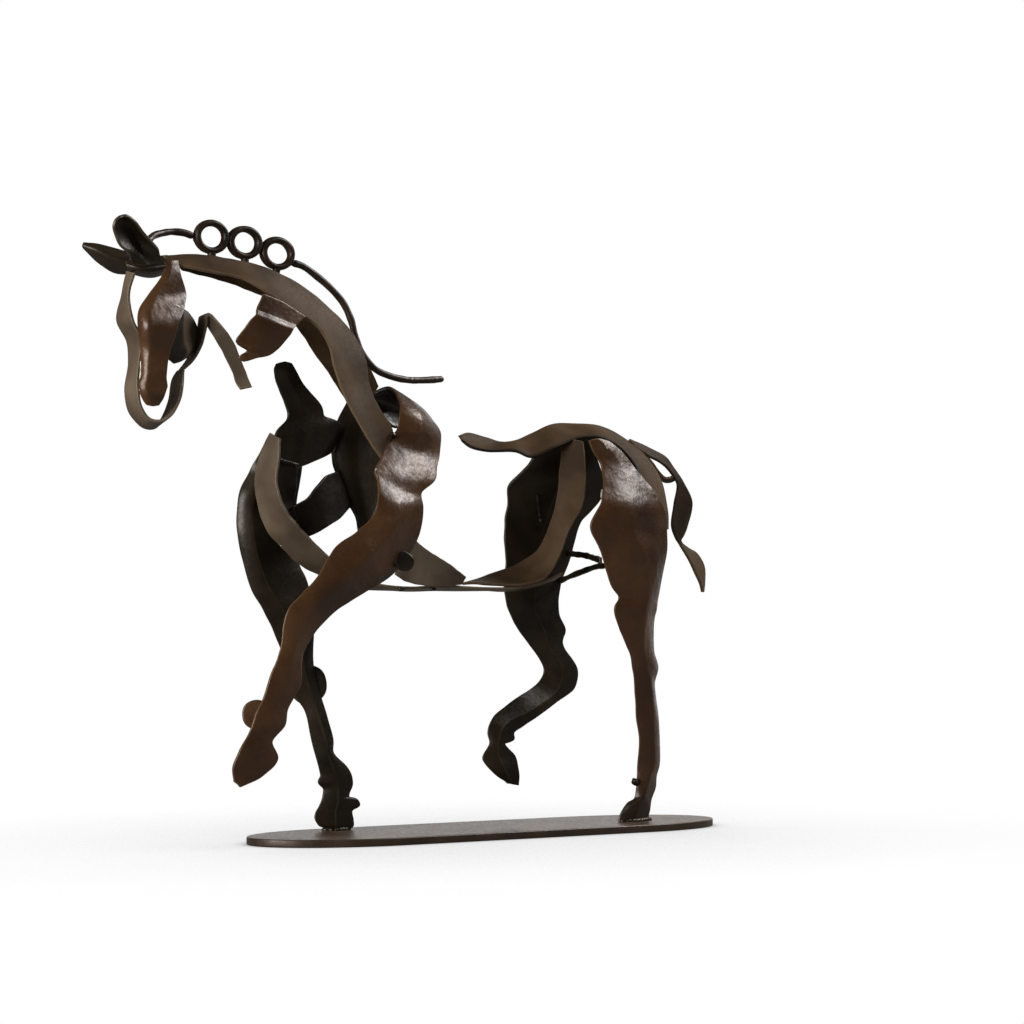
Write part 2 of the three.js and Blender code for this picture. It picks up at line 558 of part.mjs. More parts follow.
const nearEar = [
  [[-164, -3, 213], [-160, -5.5, 212], [-152.5, -3.5, 215]],
  [[-169, -7.5, 216.5], [-161, -4, 218], [-156, -7.5, 218.5]],
  [[-172.5, -8.5, 219], [-162.5, -4, 221.5], [-160, -8.5, 221.5]],
  [[-174.5, -9, 222.5], [-165, -5, 224.5], [-163.5, -9, 224.5]],
  [[-175.5, -10, 225], [-168.5, -6.5, 226], [-166.5, -10, 227]],
  [[-175, -10.5, 227], [-171, -8.5, 228], [-169, -10.5, 228.5]],
  [[-173.5, -11, 228.5], [-172, -10.5, 229], [-171, -11, 229]],
];
weldOn('near_ear', sheet(nearEar, strapSheet), shadeBlack);

const farEar = [
  [[-161, 3, 217], [-160, 1, 213.5], [-157.5, 5, 210.5]],
  [[-164.5, 4, 218], [-165, 1, 214], [-161, 7, 210.5]],
  [[-169, 6, 219.5], [-170, 3, 215.5], [-166, 9, 211]],
  [[-173.5, 8, 220.5], [-174.5, 6, 218], [-171, 10, 214]],
  [[-177, 11, 221], [-178, 10, 220], [-177, 11, 219.5]],
];
weldOn('far_ear', sheet(farEar, strapSheet), shadeBlack);

// Mane: three rings of bent rod on short posts, with a rod before and behind them.
const ringCentres = [[-127.5, 3, 226.5], [-113, 3, 225.5], [-98.5, 3, 222.5]];
const ringFeet = [[-127, 3, 217.5], [-112.5, 3, 216.5], [-99.5, 3, 213]];

function maneRing(centre, foot) {
  const make = (extra) => {
    const radius = (maneRingHeight - maneRingRod) / 2;
    const ring = new THREE.TorusGeometry(radius, maneRingRod / 2 + extra, 8, 24);
    ring.rotateX(Math.PI / 2);
    ring.scale(maneRingLength / maneRingHeight, maneRingDepth / maneRingRod, 1);
    const middle = at(centre);
    ring.translate(middle.x, middle.y, middle.z);
    const low = at(foot);
    const top = middle.clone().sub(new THREE.Vector3(0, 0, radius));
    const post = rodGeometryBetween(low, top, manePostDiameter + 2 * extra);
    return toSolid(ring).add(toSolid(post));
  };
  return { solid: make(0), trim: make(weldGap) };
}

function rodGeometryBetween(low, top, diameter) {
  const length = top.distanceTo(low);
  const geometry = new THREE.CylinderGeometry(diameter / 2, diameter / 2, length, postSides);
  const turn = new THREE.Quaternion().setFromUnitVectors(
    new THREE.Vector3(0, 1, 0),
    top.clone().sub(low).normalize(),
  );
  geometry.applyQuaternion(turn);
  const middle = low.clone().add(top).multiplyScalar(0.5);
  geometry.translate(middle.x, middle.y, middle.z);
  return geometry;
}

ringCentres.forEach((centre, i) => {
  weldOn(`mane_ring_${i + 1}`, maneRing(centre, ringFeet[i]), shadeBlack);
});

const maneFront = [
  [-160.5, -5, 219.5], [-157.5, -3, 222], [-153.5, 0, 224.5], [-149, 2, 226], [-144.5, 3, 227],
  [-139, 3, 227], [-135, 3, 226],
];
weldOn('mane_rod_front', rod(maneFront, maneRodDiameter, frontRodSteps), shadeBlack);

const maneBack = [
  [-92, 3, 219.5], [-87, 3, 218.5], [-80.5, 3, 215], [-74.5, 3, 211], [-68.5, 3, 205.5], [-65.5, 2, 199],
  [-64, 1, 192], [-61.5, 0, 186], [-56, 0, 180.5], [-48, 1, 178], [-39, 2, 177], [-29.5, 3, 177.5],
  [-20.5, 4, 178.5],
];
weldOn('mane_rod_back', rod(maneBack, maneRodDiameter, backRodSteps), shadeBlack);

// Tail: a twisted strip, with a loop of the same strip at its root.
const tailStrip = [
  [[72.5, 2, 158], [71.5, 0, 157]],
  [[81, 3, 156], [73.5, -1, 154.5]],
  [[89, 4, 153.5], [80, -1, 151.5]],
  [[94, 4, 151], [87.5, 0, 149]],
  [[97.5, 4, 147], [91.5, 0, 146.5]],
  [[99.5, 3, 144], [95, 0, 142.5]],
  [[101.5, 2, 141], [96.5, 0, 139.5]],
  [[108, 4, 133], [93.5, -2, 131.5]],
  [[106.5, 5, 124], [91.5, -3, 122.5]],
  [[102.5, 3, 118.5], [95, -1, 117.5]],
  [[99.5, 1, 116], [98, 0, 115]],
  [[105, 3, 113], [99.5, -1, 112]],
  [[111, 4, 110.5], [102, -2, 107]],
  [[114.5, 4, 105.5], [105, -2, 102]],
  [[114, 3, 99.5], [108, -1, 98.5]],
  [[112.5, 2, 94.5], [111, 1, 94.5]],
];
weldOn('tail_strip', sheet(tailStrip, strapSheet), greyBrown);

const tailLoop = [
  [[80.5, 2, 151.5], [79.5, -1, 150.5]],
  [[84, 3, 148.5], [83.5, 0, 148]],
  [[88.5, 4, 144], [86.5, 0, 145]],
  [[92.5, 4, 141], [90, 0, 142.5]],
  [[96.5, 4, 141], [93, 0, 142.5]],
  [[98.5, 3, 142], [95, 0, 143.5]],
];
weldOn('tail_loop', sheet(tailLoop, strapSheet), greyBrown);

// Two flat bars between the thighs.
function bar(points) {
  const rows = points.map(([x, y, z]) => [[x, y, z + groinBarWidth / 2], [x, y, z - groinBarWidth / 2]]);
  return sheet(rows, strapSheet, leafSteps);
}
const groinUpper = [
  [56, 21.5, 110.5], [48, 0, 109], [38.5, -22.3, 106.5],
];
const groinLower = [
  [51, 22, 99], [48, -5, 104], [42.5, -22.5, 104.5],
];
weldOn('groin_bar_upper', bar(groinUpper), shadeBlack);
weldOn('groin_bar_lower', bar(groinLower), shadeBlack);

export default horse;
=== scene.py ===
import math

import bpy
import numpy as np
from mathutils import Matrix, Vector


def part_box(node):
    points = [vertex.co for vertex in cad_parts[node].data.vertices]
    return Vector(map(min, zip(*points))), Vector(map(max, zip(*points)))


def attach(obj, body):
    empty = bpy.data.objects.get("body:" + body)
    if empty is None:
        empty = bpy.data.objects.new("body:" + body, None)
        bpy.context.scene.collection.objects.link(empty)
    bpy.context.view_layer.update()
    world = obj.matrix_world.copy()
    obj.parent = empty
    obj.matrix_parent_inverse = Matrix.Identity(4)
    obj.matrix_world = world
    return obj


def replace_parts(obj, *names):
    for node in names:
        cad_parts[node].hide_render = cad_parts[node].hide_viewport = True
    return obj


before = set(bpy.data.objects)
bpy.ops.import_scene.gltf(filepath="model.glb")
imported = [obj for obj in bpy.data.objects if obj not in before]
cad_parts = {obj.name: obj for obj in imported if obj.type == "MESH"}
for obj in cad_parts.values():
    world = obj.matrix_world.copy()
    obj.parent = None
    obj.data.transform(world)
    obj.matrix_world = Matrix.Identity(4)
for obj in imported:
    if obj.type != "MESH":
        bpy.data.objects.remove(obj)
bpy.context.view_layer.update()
mm = 0.001
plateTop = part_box("base_plate")[1].z / mm  # the horse's own points are millimetres above the plate's top
print("stage: frame loaded,", len(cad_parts), "nodes")


# Colour and nodes

def hexColour(text):
    # sRGB hex to linear light: c / 12.92 below 0.04045, else ((c + 0.055) / 1.055) ^ 2.4
    srgb = np.array([int(text[i:i + 2], 16) for i in (1, 3, 5)]) / 255
    linear = np.where(srgb < 0.04045, srgb / 12.92, ((srgb + 0.055) / 1.055) ** 2.4)
    return (*linear.tolist(), 1.0)


def addNode(tree, kind, settings=(), inputs=(), links=()):
    # one node: settings are its properties, inputs plain values, links (input, other node, output)
    node = tree.nodes.new(kind)
    for name, value in dict(settings).items():
        setattr(node, name, value)
    for name, value in dict(inputs).items():
        node.inputs[name].default_value = value
    for name, other, output in links:
        tree.links.new(other.outputs[output], node.inputs[name])
    return node


def emptyTree(owner):
    # the node tree of a material or a world, without its usual nodes
    owner.use_nodes = True
    owner.node_tree.nodes.clear()
    return owner.node_tree


def addObject(name, data):
    # a new object in the scene, at the origin
    added = bpy.data.objects.new(name, data)
    bpy.context.scene.collection.objects.link(added)
    return added


# Lacquered mild steel: cut, hammered and bent cold, then dipped in a dark brown lacquer. The lacquer lies
# thin on the cut edges, which show a little lighter. The same edge colour is painted highlight along the
# bent ridges of the far legs and painted shade on the base plate's rim. A darkening mixes in a dark colour:
# painted shade inside the shoulder's roll, along the croup strip's lower edge and on the cheek plate's left
# half; it also makes the near hind foot and the middle of the tail darker. Hammer marks break the gloss.
# Clouds of thick and thin lacquer, flecks and hammer marks are noise of the sizes in mm that each look
# gives, and stops are where in the clouds its three colours lie.

lacquer = {"stops": (0.35, 0.5, 0.68), "fullEdgeColourMm": 0.1, "wearAndLightMix": 0.7, "fleckRange": (0.35, 0.65),
           "roughRange": (-0.05, 0.07), "dentMm": 0.5, "grainMm": 0.08}


def lacqueredSteel(look):
    material = bpy.data.materials.new(look["name"])
    tree = emptyTree(material)
    place = addNode(tree, "ShaderNodeTexCoord")
    cloud, fleck, hammer = (
        addNode(tree, "ShaderNodeTexNoise", inputs={"Scale": 1000 / look[size], "Detail": detail},
                links=[("Vector", place, "Object")])
        for size, detail in (("cloudMm", 3.0), ("fleckMm", 2.0), ("hammerMm", 2.0)))
    body = addNode(tree, "ShaderNodeValToRGB", links=[("Fac", cloud, "Fac")])
    stops = body.color_ramp.elements
    stops.new(lacquer["stops"][1])
    for stop, share, colour in zip(stops, lacquer["stops"], ("dark", "body", "light")):
        stop.position = share
        stop.color = hexColour(look[colour])
    # edge colour: lacquer worn thin on cut edges, plus painted highlight on the far legs' ridges and painted
    # shade on the plate's rim
    edge = addNode(tree, "ShaderNodeAttribute", {"attribute_name": "edgeMm"})
    wearAndPaintedLight = addNode(tree, "ShaderNodeMapRange", {"clamp": True},
                   {"From Min": lacquer["fullEdgeColourMm"], "From Max": look["edgeMm"], "To Min": lacquer["wearAndLightMix"],
                    "To Max": 0.0},
                   [("Value", edge, "Fac")])
    edged = addNode(tree, "ShaderNodeMix", {"data_type": "RGBA"}, {7: hexColour(look["edge"])},
                    [(0, wearAndPaintedLight, "Result"), (6, body, "Color")])
    # darkening: a dark colour mixed in by the darkening attribute, painted shade on the pieces that set it
    # across or on the back
    darkening = addNode(tree, "ShaderNodeAttribute", {"attribute_name": "darkening"})
    darkened = addNode(tree, "ShaderNodeMix", {"data_type": "RGBA"}, {7: hexColour(look["darkening"])},
                     [(0, darkening, "Fac"), (6, edged, 2)])
    low, high = lacquer["fleckRange"]
    smooth, rough = (look["rough"] + change for change in lacquer["roughRange"])
    gloss = addNode(tree, "ShaderNodeMapRange", (),
                    {"From Min": low, "From Max": high, "To Min": smooth, "To Max": rough},
                    [("Value", fleck, "Fac")])
    dents = addNode(tree, "ShaderNodeBump", (),
                    {"Strength": look["hammerDepth"], "Distance": lacquer["dentMm"] * mm},
                    [("Height", hammer, "Fac")])
    skin = addNode(tree, "ShaderNodeBump", (),
                   {"Strength": look["grain"], "Distance": lacquer["grainMm"] * mm},
                   [("Height", fleck, "Fac"), ("Normal", dents, "Normal")])
    shader = addNode(tree, "ShaderNodeBsdfPrincipled", (),
                     {"Metallic": look["metal"], "Specular IOR Level": look["sheen"]},
                     [("Base Color", darkened, 2), ("Roughness", gloss, "Result"), ("Normal", skin, "Normal")])
    addNode(tree, "ShaderNodeOutputMaterial", links=[("Surface", shader, "BSDF")])
    return material


# A look gives its four lacquer colours, its darkening colour, its gloss and what differs from the usual
usualLook = {"sheen": 0.5, "cloudMm": 20, "fleckMm": 1.0, "hammerDepth": 0.3, "grain": 0.2, "edgeMm": 0.5}
steelLooks = {
    "brown": {"name": "lacquered_steel_warm_brown", "slot": "brown_sheet", "dark": "#372110",
              "body": "#442a14", "light": "#52361c", "edge": "#624931", "darkening": "#16100a", "rough": 0.34,
              "metal": 0.15, "cloudMm": 24, "fleckMm": 1.1, "hammerMm": 5, "hammerDepth": 0.8,
              "grain": 0.25, "edgeMm": 0.6},
    # Strap: the strap steel drawn lighter and greyer than the strips; its grey is partly the steel's tone and
    # partly painted reflection.
    "strap": {"name": "lacquered_steel_grey_brown_painted_reflection", "slot": "strap_sheet", "dark": "#4b3f32",
              "body": "#5a4c3e", "light": "#685a4a", "edge": "#766856", "darkening": "#1d1812", "rough": 0.46,
              "metal": 0.1, "sheen": 0.22, "hammerMm": 6, "hammerDepth": 0.35},
    "strip": {"name": "lacquered_steel_dull_brown", "slot": "strap_sheet", "dark": "#3d2e20",
              "body": "#4b3a29", "light": "#594735", "edge": "#6a5844", "darkening": "#1d1812", "rough": 0.5,
              "metal": 0.0, "sheen": 0.05, "hammerMm": 6, "hammerDepth": 0.35},
    # Dark: the warm brown lacquer drawn near black for the far, inner and small pieces: painted shade.
    "dark": {"name": "lacquered_steel_brown_painted_shade", "slot": "dark_sheet", "dark": "#1a140b",
             "body": "#261d12", "light": "#342a1d", "edge": "#4a4032", "darkening": "#0c0906", "rough": 0.36,
             "metal": 0.2, "sheen": 0.35, "hammerMm": 5, "hammerDepth": 0.5, "grain": 0.1},
    # The plate's dark edge colour, laid on its rim, is painted shade.
    "plate": {"name": "lacquered_steel_plate", "slot": "plate", "dark": "#46362a", "body": "#554334",
              "light": "#635041", "edge": "#1a110b", "darkening": "#2a211b", "rough": 0.4, "metal": 0.3,
              "cloudMm": 18, "fleckMm": 1.3, "hammerMm": 7, "hammerDepth": 0.15, "edgeMm": 0.9},
    "rod": {"name": "lacquered_steel_rod", "slot": "rod", "dark": "#21160e", "body": "#2e2015",
            "light": "#3d2d20", "edge": "#483a2c", "darkening": "#15100b", "rough": 0.4, "metal": 0.15,
            "sheen": 0.3, "cloudMm": 9, "fleckMm": 0.9, "hammerMm": 4},
    # Glint: pale beads for glints of light on welds, rod ends and edges: painted highlights.
    "bare": {"name": "bright_metal_painted_glint", "slot": "rod", "dark": "#8f877b", "body": "#bcb4a8",
             "light": "#dcd5ca", "edge": "#dcd5ca", "darkening": "#8f877b", "rough": 0.4, "metal": 0.3,
             "cloudMm": 2, "fleckMm": 0.6, "hammerMm": 2, "grain": 0.3},
    "weld": {"name": "weld_metal_under_lacquer", "slot": "rod", "dark": "#1c150e", "body": "#2c2218",
             "light": "#453a2d", "edge": "#483a2c", "darkening": "#15100b", "rough": 0.36, "metal": 0.5,
             "cloudMm": 4, "fleckMm": 0.8, "hammerMm": 2, "grain": 0.3},
}
steel = {kind: lacqueredSteel({**usualLook, **look}) for kind, look in steelLooks.items()}
print("stage: materials")


# Curves and meshes

farFromEdge = 9.0  # mm from an edge, for surfaces without a cut one


def unit(v):
    # a vector divided by its length
    return v / (np.linalg.norm(v, axis=-1, keepdims=True) + 1e-9)


def runAlong(path):
    # length of the path from its start to each of its points
    return np.concatenate([[0], np.cumsum(np.linalg.norm(np.diff(path, axis=0), axis=1))])


def curveThrough(points, t):
    # centripetal Catmull-Rom through the points, t runs from 0 to their number less one
    p = np.concatenate([[2 * points[0] - points[1]], points, [2 * points[-1] - points[-2]]])
    i = np.clip(np.floor(t).astype(int), 0, len(points) - 2)
    w = (t - i)[:, None]
    p0, p1, p2, p3 = p[i], p[i + 1], p[i + 2], p[i + 3]
    d0, d1, d2 = (np.sqrt(np.linalg.norm(b - a, axis=1, keepdims=True)) + 1e-9
                  for a, b in ((p0, p1), (p1, p2), (p2, p3)))
    m1 = ((p1 - p0) / d0 - (p2 - p0) / (d0 + d1) + (p2 - p1) / d1) * d1
    m2 = ((p2 - p1) / d1 - (p3 - p1) / (d1 + d2) + (p3 - p2) / d2) * d1
    return p1 + m1 * w + (3 * (p2 - p1) - 2 * m1 - m2) * w ** 2 + (2 * (p1 - p2) + m1 + m2) * w ** 3


def waves(p, size, seed):
    # soft unevenness from -1 to 1: a mean of sine waves in seeded directions, about size mm long
    count = 14
    draw = np.random.default_rng(seed)
    direction = unit(draw.normal(size=(count, 3)))
    direction = direction * (2 * math.pi / (size * draw.uniform(0.7, 1.8, (count, 1))))
    phase = draw.uniform(0, 2 * math.pi, count)
    return np.sin(p @ direction.T + phase).sum(-1) / math.sqrt(count) * 0.8


def meshPiece(name, points, faces, look, edgeMm=None, darkening=None):
    # points in mm; faces are quads, or triangles where the fourth corner is -1
    mesh = bpy.data.meshes.new(name)
    quads = faces[faces[:, 3] >= 0]
    tris = faces[faces[:, 3] < 0][:, :3]
    loops = np.concatenate([quads.ravel(), tris.ravel()]).astype(np.int32)
    starts = np.concatenate([np.arange(len(quads)) * 4, len(quads) * 4 + np.arange(len(tris)) * 3])
    mesh.vertices.add(len(points))
    mesh.vertices.foreach_set("co", (np.asarray(points) * mm).astype(np.float32).ravel())
    mesh.loops.add(len(loops))
    mesh.loops.foreach_set("vertex_index", loops)
    mesh.polygons.add(len(starts))
    mesh.polygons.foreach_set("loop_start", starts.astype(np.int32))
    mesh.update(calc_edges=True)
    mesh.polygons.foreach_set("use_smooth", np.ones(len(starts), bool))
    for label, values, usual in (("edgeMm", edgeMm, farFromEdge), ("darkening", darkening, 0.0)):
        values = np.full(len(points), usual) if values is None else values
        mesh.attributes.new(label, "FLOAT", "POINT").data.foreach_set("value", values.astype(np.float32))
    mesh.materials.append(steel[look])
    piece = addObject(name, mesh)
    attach(piece, "root")
    return piece


def spaced(length, step, half):
    # shares from 0 to 1: even steps between, and close ones at both ends where the rim is rounded
    rim = half * np.array([0, 0.04, 0.12, 0.3, 0.6, 1.0]) / length
    inner = np.linspace(rim[-1], 1 - rim[-1], max(int(length / step), 3))
    return np.concatenate([rim[:-1], inner, 1 - rim[-2::-1]])


def gridQuads(ids, turned):
    # a quad for each square of the grid of vertex numbers, turned over for the underside
    quads = np.stack([ids[:-1, :-1], ids[1:, :-1], ids[1:, 1:], ids[:-1, 1:]], -1).reshape(-1, 4)
    return quads[:, ::-1] if turned else quads


# foldRound: share of a smooth curve across, in place of the fold; crown: height in mm of an arch across.
# A darkening curve is (shares, strengths) along or across the sheet, and paintedShadeBack along its back
# alone; across and on the back it is painted shade.
noDarkening = ((0, 1), (0, 0))
paintedRidgeHighlight = {"leastMm": 0.12, "slope": 0.8, "wave": 0.25, "waveMm": 14}  # painted highlight along a bent ridge, in the edge colour, spread as on an edge
sheetUsual = {"thickness": 1.2, "step": 0.85, "foldRound": 0.45, "crown": 0.0, "wave": 0.2, "waveMm": 16,
              "edgeWave": 0.18, "edgeWaveMm": 7, "darkenAlong": noDarkening, "paintedShadeAcross": noDarkening,
              "paintedShadeBack": noDarkening, "backFirst": False, "paintRidgeHighlight": False}


def sheetPiece(node, own):
    # Each row of points crosses the sheet. Columns are joined by smooth curves, rows by a rounded fold,
    # and half the thickness lies to each side: h(d) = t/2 (1 - (1 - 2d/t)^4)^(1/4) at d mm from the edge.
    v = {**sheetUsual, **own}
    rows = np.array(v["rows"], float)
    half = v["thickness"] / 2
    rows[..., 2] += plateTop
    n, m = rows.shape[:2]
    length = np.linalg.norm(np.diff(rows[:, 0], axis=0), axis=1).sum()
    width = np.linalg.norm(np.diff(rows, axis=1), axis=2).sum(1).max()
    t = spaced(length, v["step"], half) * (n - 1)
    s = spaced(width, v["step"], half) * (m - 1)
    columns = np.stack([curveThrough(rows[:, j], t) for j in range(m)], 1)
    j = np.clip(np.floor(s).astype(int), 0, m - 2)
    w = (s - j)[None, :, None]
    surface = columns[:, j] * (1 - w) + columns[:, j + 1] * w
    if m == 3:
        q = s / 2
        weights = np.stack([(1 - q) * (1 - 2 * q), 4 * q * (1 - q), q * (2 * q - 1)])
        curved = np.einsum("ajk,jb->abk", columns, weights)
        surface = surface * (1 - v["foldRound"]) + curved * v["foldRound"]
    across = np.gradient(surface, axis=1)
    normal = unit(np.cross(np.gradient(surface, axis=0), across))
    share = s / (m - 1)
    surface = surface + normal * (v["crown"] * (1 - (2 * share - 1) ** 2))[None, :, None]
    pull = (2 * share - 1)[None, :] ** 3
    ragged = pull * waves(surface, v["edgeWaveMm"], v["seed"] + 50) * v["edgeWave"]
    surface = surface + unit(across) * ragged[..., None]
    surface = surface + normal * (waves(surface, v["waveMm"], v["seed"]) * v["wave"])[..., None]
    normal = unit(np.cross(np.gradient(surface, axis=0), np.gradient(surface, axis=1)))
    stepS = np.linalg.norm(np.diff(surface, axis=1), axis=2)
    stepT = np.linalg.norm(np.diff(surface, axis=0), axis=2)
    fromLeft = np.concatenate([np.zeros((len(t), 1)), np.cumsum(stepS, 1)], 1)
    fromStart = np.concatenate([np.zeros((1, len(s))), np.cumsum(stepT, 0)], 0)
    d = np.minimum(np.minimum(fromLeft, fromLeft[:, -1:] - fromLeft),
                   np.minimum(fromStart, fromStart[-1:] - fromStart))
    h = half * (1 - (1 - np.clip(d / half, 0, 1)) ** 4) ** 0.25
    top = surface + normal * h[..., None]
    bottom = surface - normal * h[..., None]
    a, b = surface.shape[:2]
    ids = np.arange(a * b).reshape(a, b)
    low = ids.copy()
    low[1:-1, 1:-1] = a * b + np.arange((a - 2) * (b - 2)).reshape(a - 2, b - 2)
    points = np.concatenate([top.reshape(-1, 3), bottom[1:-1, 1:-1].reshape(-1, 3)])
    wearAndPaintedLight = d
    # the edge colour also runs along the bent ridge: painted highlight
    if v["paintRidgeHighlight"]:
        fromRidge = paintedRidgeHighlight["leastMm"] + np.abs(share - 0.5)[None, :] * fromLeft[:, -1:] * paintedRidgeHighlight["slope"]
        uneven = np.abs(waves(surface, paintedRidgeHighlight["waveMm"], v["seed"] + 70))
        wearAndPaintedLight = np.minimum(d, fromRidge + paintedRidgeHighlight["wave"] * uneven)
    edge = np.concatenate([wearAndPaintedLight.ravel(), wearAndPaintedLight[1:-1, 1:-1].ravel()])
    run = t[:, None] / (n - 1)
    front = np.maximum(np.interp(run, *v["darkenAlong"]), np.interp(share[None, :], *v["paintedShadeAcross"]))
    rear = np.maximum(front, np.interp(run, *v["paintedShadeBack"]) * np.ones_like(front))
    sides = (rear, front) if v["backFirst"] else (front, rear)
    darkening = np.concatenate([sides[0].ravel(), sides[1][1:-1, 1:-1].ravel()])
    faces = np.concatenate([gridQuads(ids, False), gridQuads(low, True)])
    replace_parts(meshPiece(node + "_sheet", points, faces, v["look"], edge, darkening), node)


def ringFaces(rings, around, closed):
    # quads between rings of points; closed joins the last ring to the first, and otherwise a fan of
    # triangles closes each end, to the two points that come after the rings
    last = rings if closed else rings - 1
    i, j = np.meshgrid(np.arange(last), np.arange(around), indexing="ij")
    k, l = (i + 1) % rings, (j + 1) % around
    quads = np.stack([i * around + j, i * around + l, k * around + l, k * around + j], -1).reshape(-1, 4)
    if closed:
        return quads
    j, none = np.arange(around), np.full(around, -1)
    l = (j + 1) % around
    start, finish = np.full(around, rings * around), np.full(around, rings * around + 1)
    return np.concatenate([quads, np.stack([start, l, j, none], -1),
                           np.stack([finish, last * around + j, last * around + l, none], -1)])


def sectionAxes(path, closed):
    # tangents by differences, and two directions square to them that are square to each other
    if closed:
        tangent = unit(np.roll(path, -1, 0) - np.roll(path, 1, 0))
    else:
        tangent = unit(np.gradient(path, axis=0))
    guide = np.eye(3)[np.argmin(np.abs(tangent).mean(0) + [0, -0.01, 0])]
    first = unit(np.cross(tangent, np.broadcast_to(guide, tangent.shape)) + 1e-6)
    return first, np.cross(tangent, first)


def tube(path, radius, around, seed, wave, closed=False):
    # a round section r(t)(cos a, sin a) carried along the path, with domed ends unless it is closed; its
    # radius is uneven by wave mm, over 5 mm
    path = np.asarray(path, float)
    reach = np.full(len(path), radius) + waves(path, 5, seed) * wave
    if not closed:
        run = runAlong(path)
        end = np.minimum(run, run[-1] - run) / radius
        reach = reach * np.sqrt(np.clip(1 - (1 - np.clip(end, 0, 1)) ** 2, 1e-4, 1))
    first, second = sectionAxes(path, closed)
    turn = np.linspace(0, 2 * math.pi, around, endpoint=False)
    ring = first[:, None] * np.cos(turn)[None, :, None] + second[:, None] * np.sin(turn)[None, :, None]
    points = (path[:, None] + ring * reach[:, None, None]).reshape(-1, 3)
    if not closed:
        points = np.concatenate([points, path[:1], path[-1:]])
    return points, ringFaces(len(path), around, closed)


def domed(path, step, radius):
    # the path resampled: even steps of step mm, with closer ones at both ends for the domes
    path = np.array(path, float)
    path[:, 2] += plateTop
    fine = curveThrough(path, np.linspace(0, len(path) - 1, 600))
    run = runAlong(fine)
    close = radius * np.array([0, 0.05, 0.2, 0.5])
    even = np.linspace(radius, run[-1] - radius, max(int(run[-1] / step), 3))
    places = np.concatenate([close, even, run[-1] - close[::-1]])
    return np.stack([np.interp(places, run, fine[:, k]) for k in range(3)], 1)


def joined(parts):
    # several (points, faces) sets as one
    points, faces, count = [], [], 0
    for p, f in parts:
        points.append(p)
        faces.append(np.where(f >= 0, f + count, -1))
        count += len(p)
    return np.concatenate(points), np.concatenate(faces)


# Pieces of sheet, each from its rows of points (x, y, height above the plate's top, in mm)

# Standing foreleg on the far side, one cut sheet with a bent ridge

farForeleg = {"look": "dark", "thickness": 1.5, "foldRound": 0.25, "seed": 3, "paintRidgeHighlight": True, "rows": [
    [[-99, 9, 152], [-91, 10, 150], [-77, 19, 149]],
    [[-101, 17, 141], [-96, 13, 140], [-77, 21, 137]],
    [[-106, 18, 130], [-102, 14, 130], [-79, 21, 126]],
    [[-107, 18, 118], [-103, 14, 119], [-80, 20, 114]],
    [[-105, 18, 108], [-101, 14, 108], [-79, 19, 105]],
    [[-101, 18, 95], [-95, 15, 95], [-76, 18, 98]],
    [[-95, 18, 86], [-89, 15, 87], [-73, 18, 90]],
    [[-90, 18, 77], [-84, 15, 78], [-72, 18, 81]],
    [[-86, 18, 68], [-80, 15, 69], [-73, 18, 71]],
    [[-84, 18, 60], [-78, 15, 60], [-72, 18, 62]],
    [[-81, 18, 53], [-75, 15, 53], [-69, 17, 51]],
    [[-76.5, 18, 48], [-72.5, 15, 46], [-67.5, 17, 46.5]],
    [[-73, 18, 35], [-68.5, 15, 35], [-64, 17, 35.5]],
    [[-71, 18, 29.5], [-67.5, 15, 29.5], [-64, 17, 30.5]],
    [[-69.5, 18, 24], [-65, 15, 24.5], [-57.5, 17, 24.5]],
    [[-69, 18, 21.5], [-64, 15, 22], [-55.5, 17, 21]],
    [[-70, 18, 19], [-63.5, 15, 19.5], [-55, 17, 17.5]],
    [[-67.5, 18, 16.5], [-63, 15, 16.5], [-56.5, 17, 14.5]],
    [[-68, 18, 13.5], [-63, 15, 13.5], [-56.5, 17, 12.5]],
    [[-69, 18, 11], [-63, 15, 11.5], [-52.5, 17, 11.5]],
    [[-70, 18, 9], [-63.5, 15, 9.5], [-51.5, 17, 9.5]],
    [[-71, 18, 7.5], [-64, 15, 8], [-55, 17, 7.5]],
    [[-71.5, 18, 5], [-64, 15, 5], [-54.5, 17, 4]],
    [[-70, 18, 2.5], [-64, 15, 2], [-54.5, 17, 1.5]],
    [[-66, 18, 1], [-62.5, 16, 1], [-57, 17, 0.5]],
    [[-65.5, 18, -1], [-62.5, 16, -1], [-57, 17, -1]],
]}
sheetPiece("far_foreleg", farForeleg)
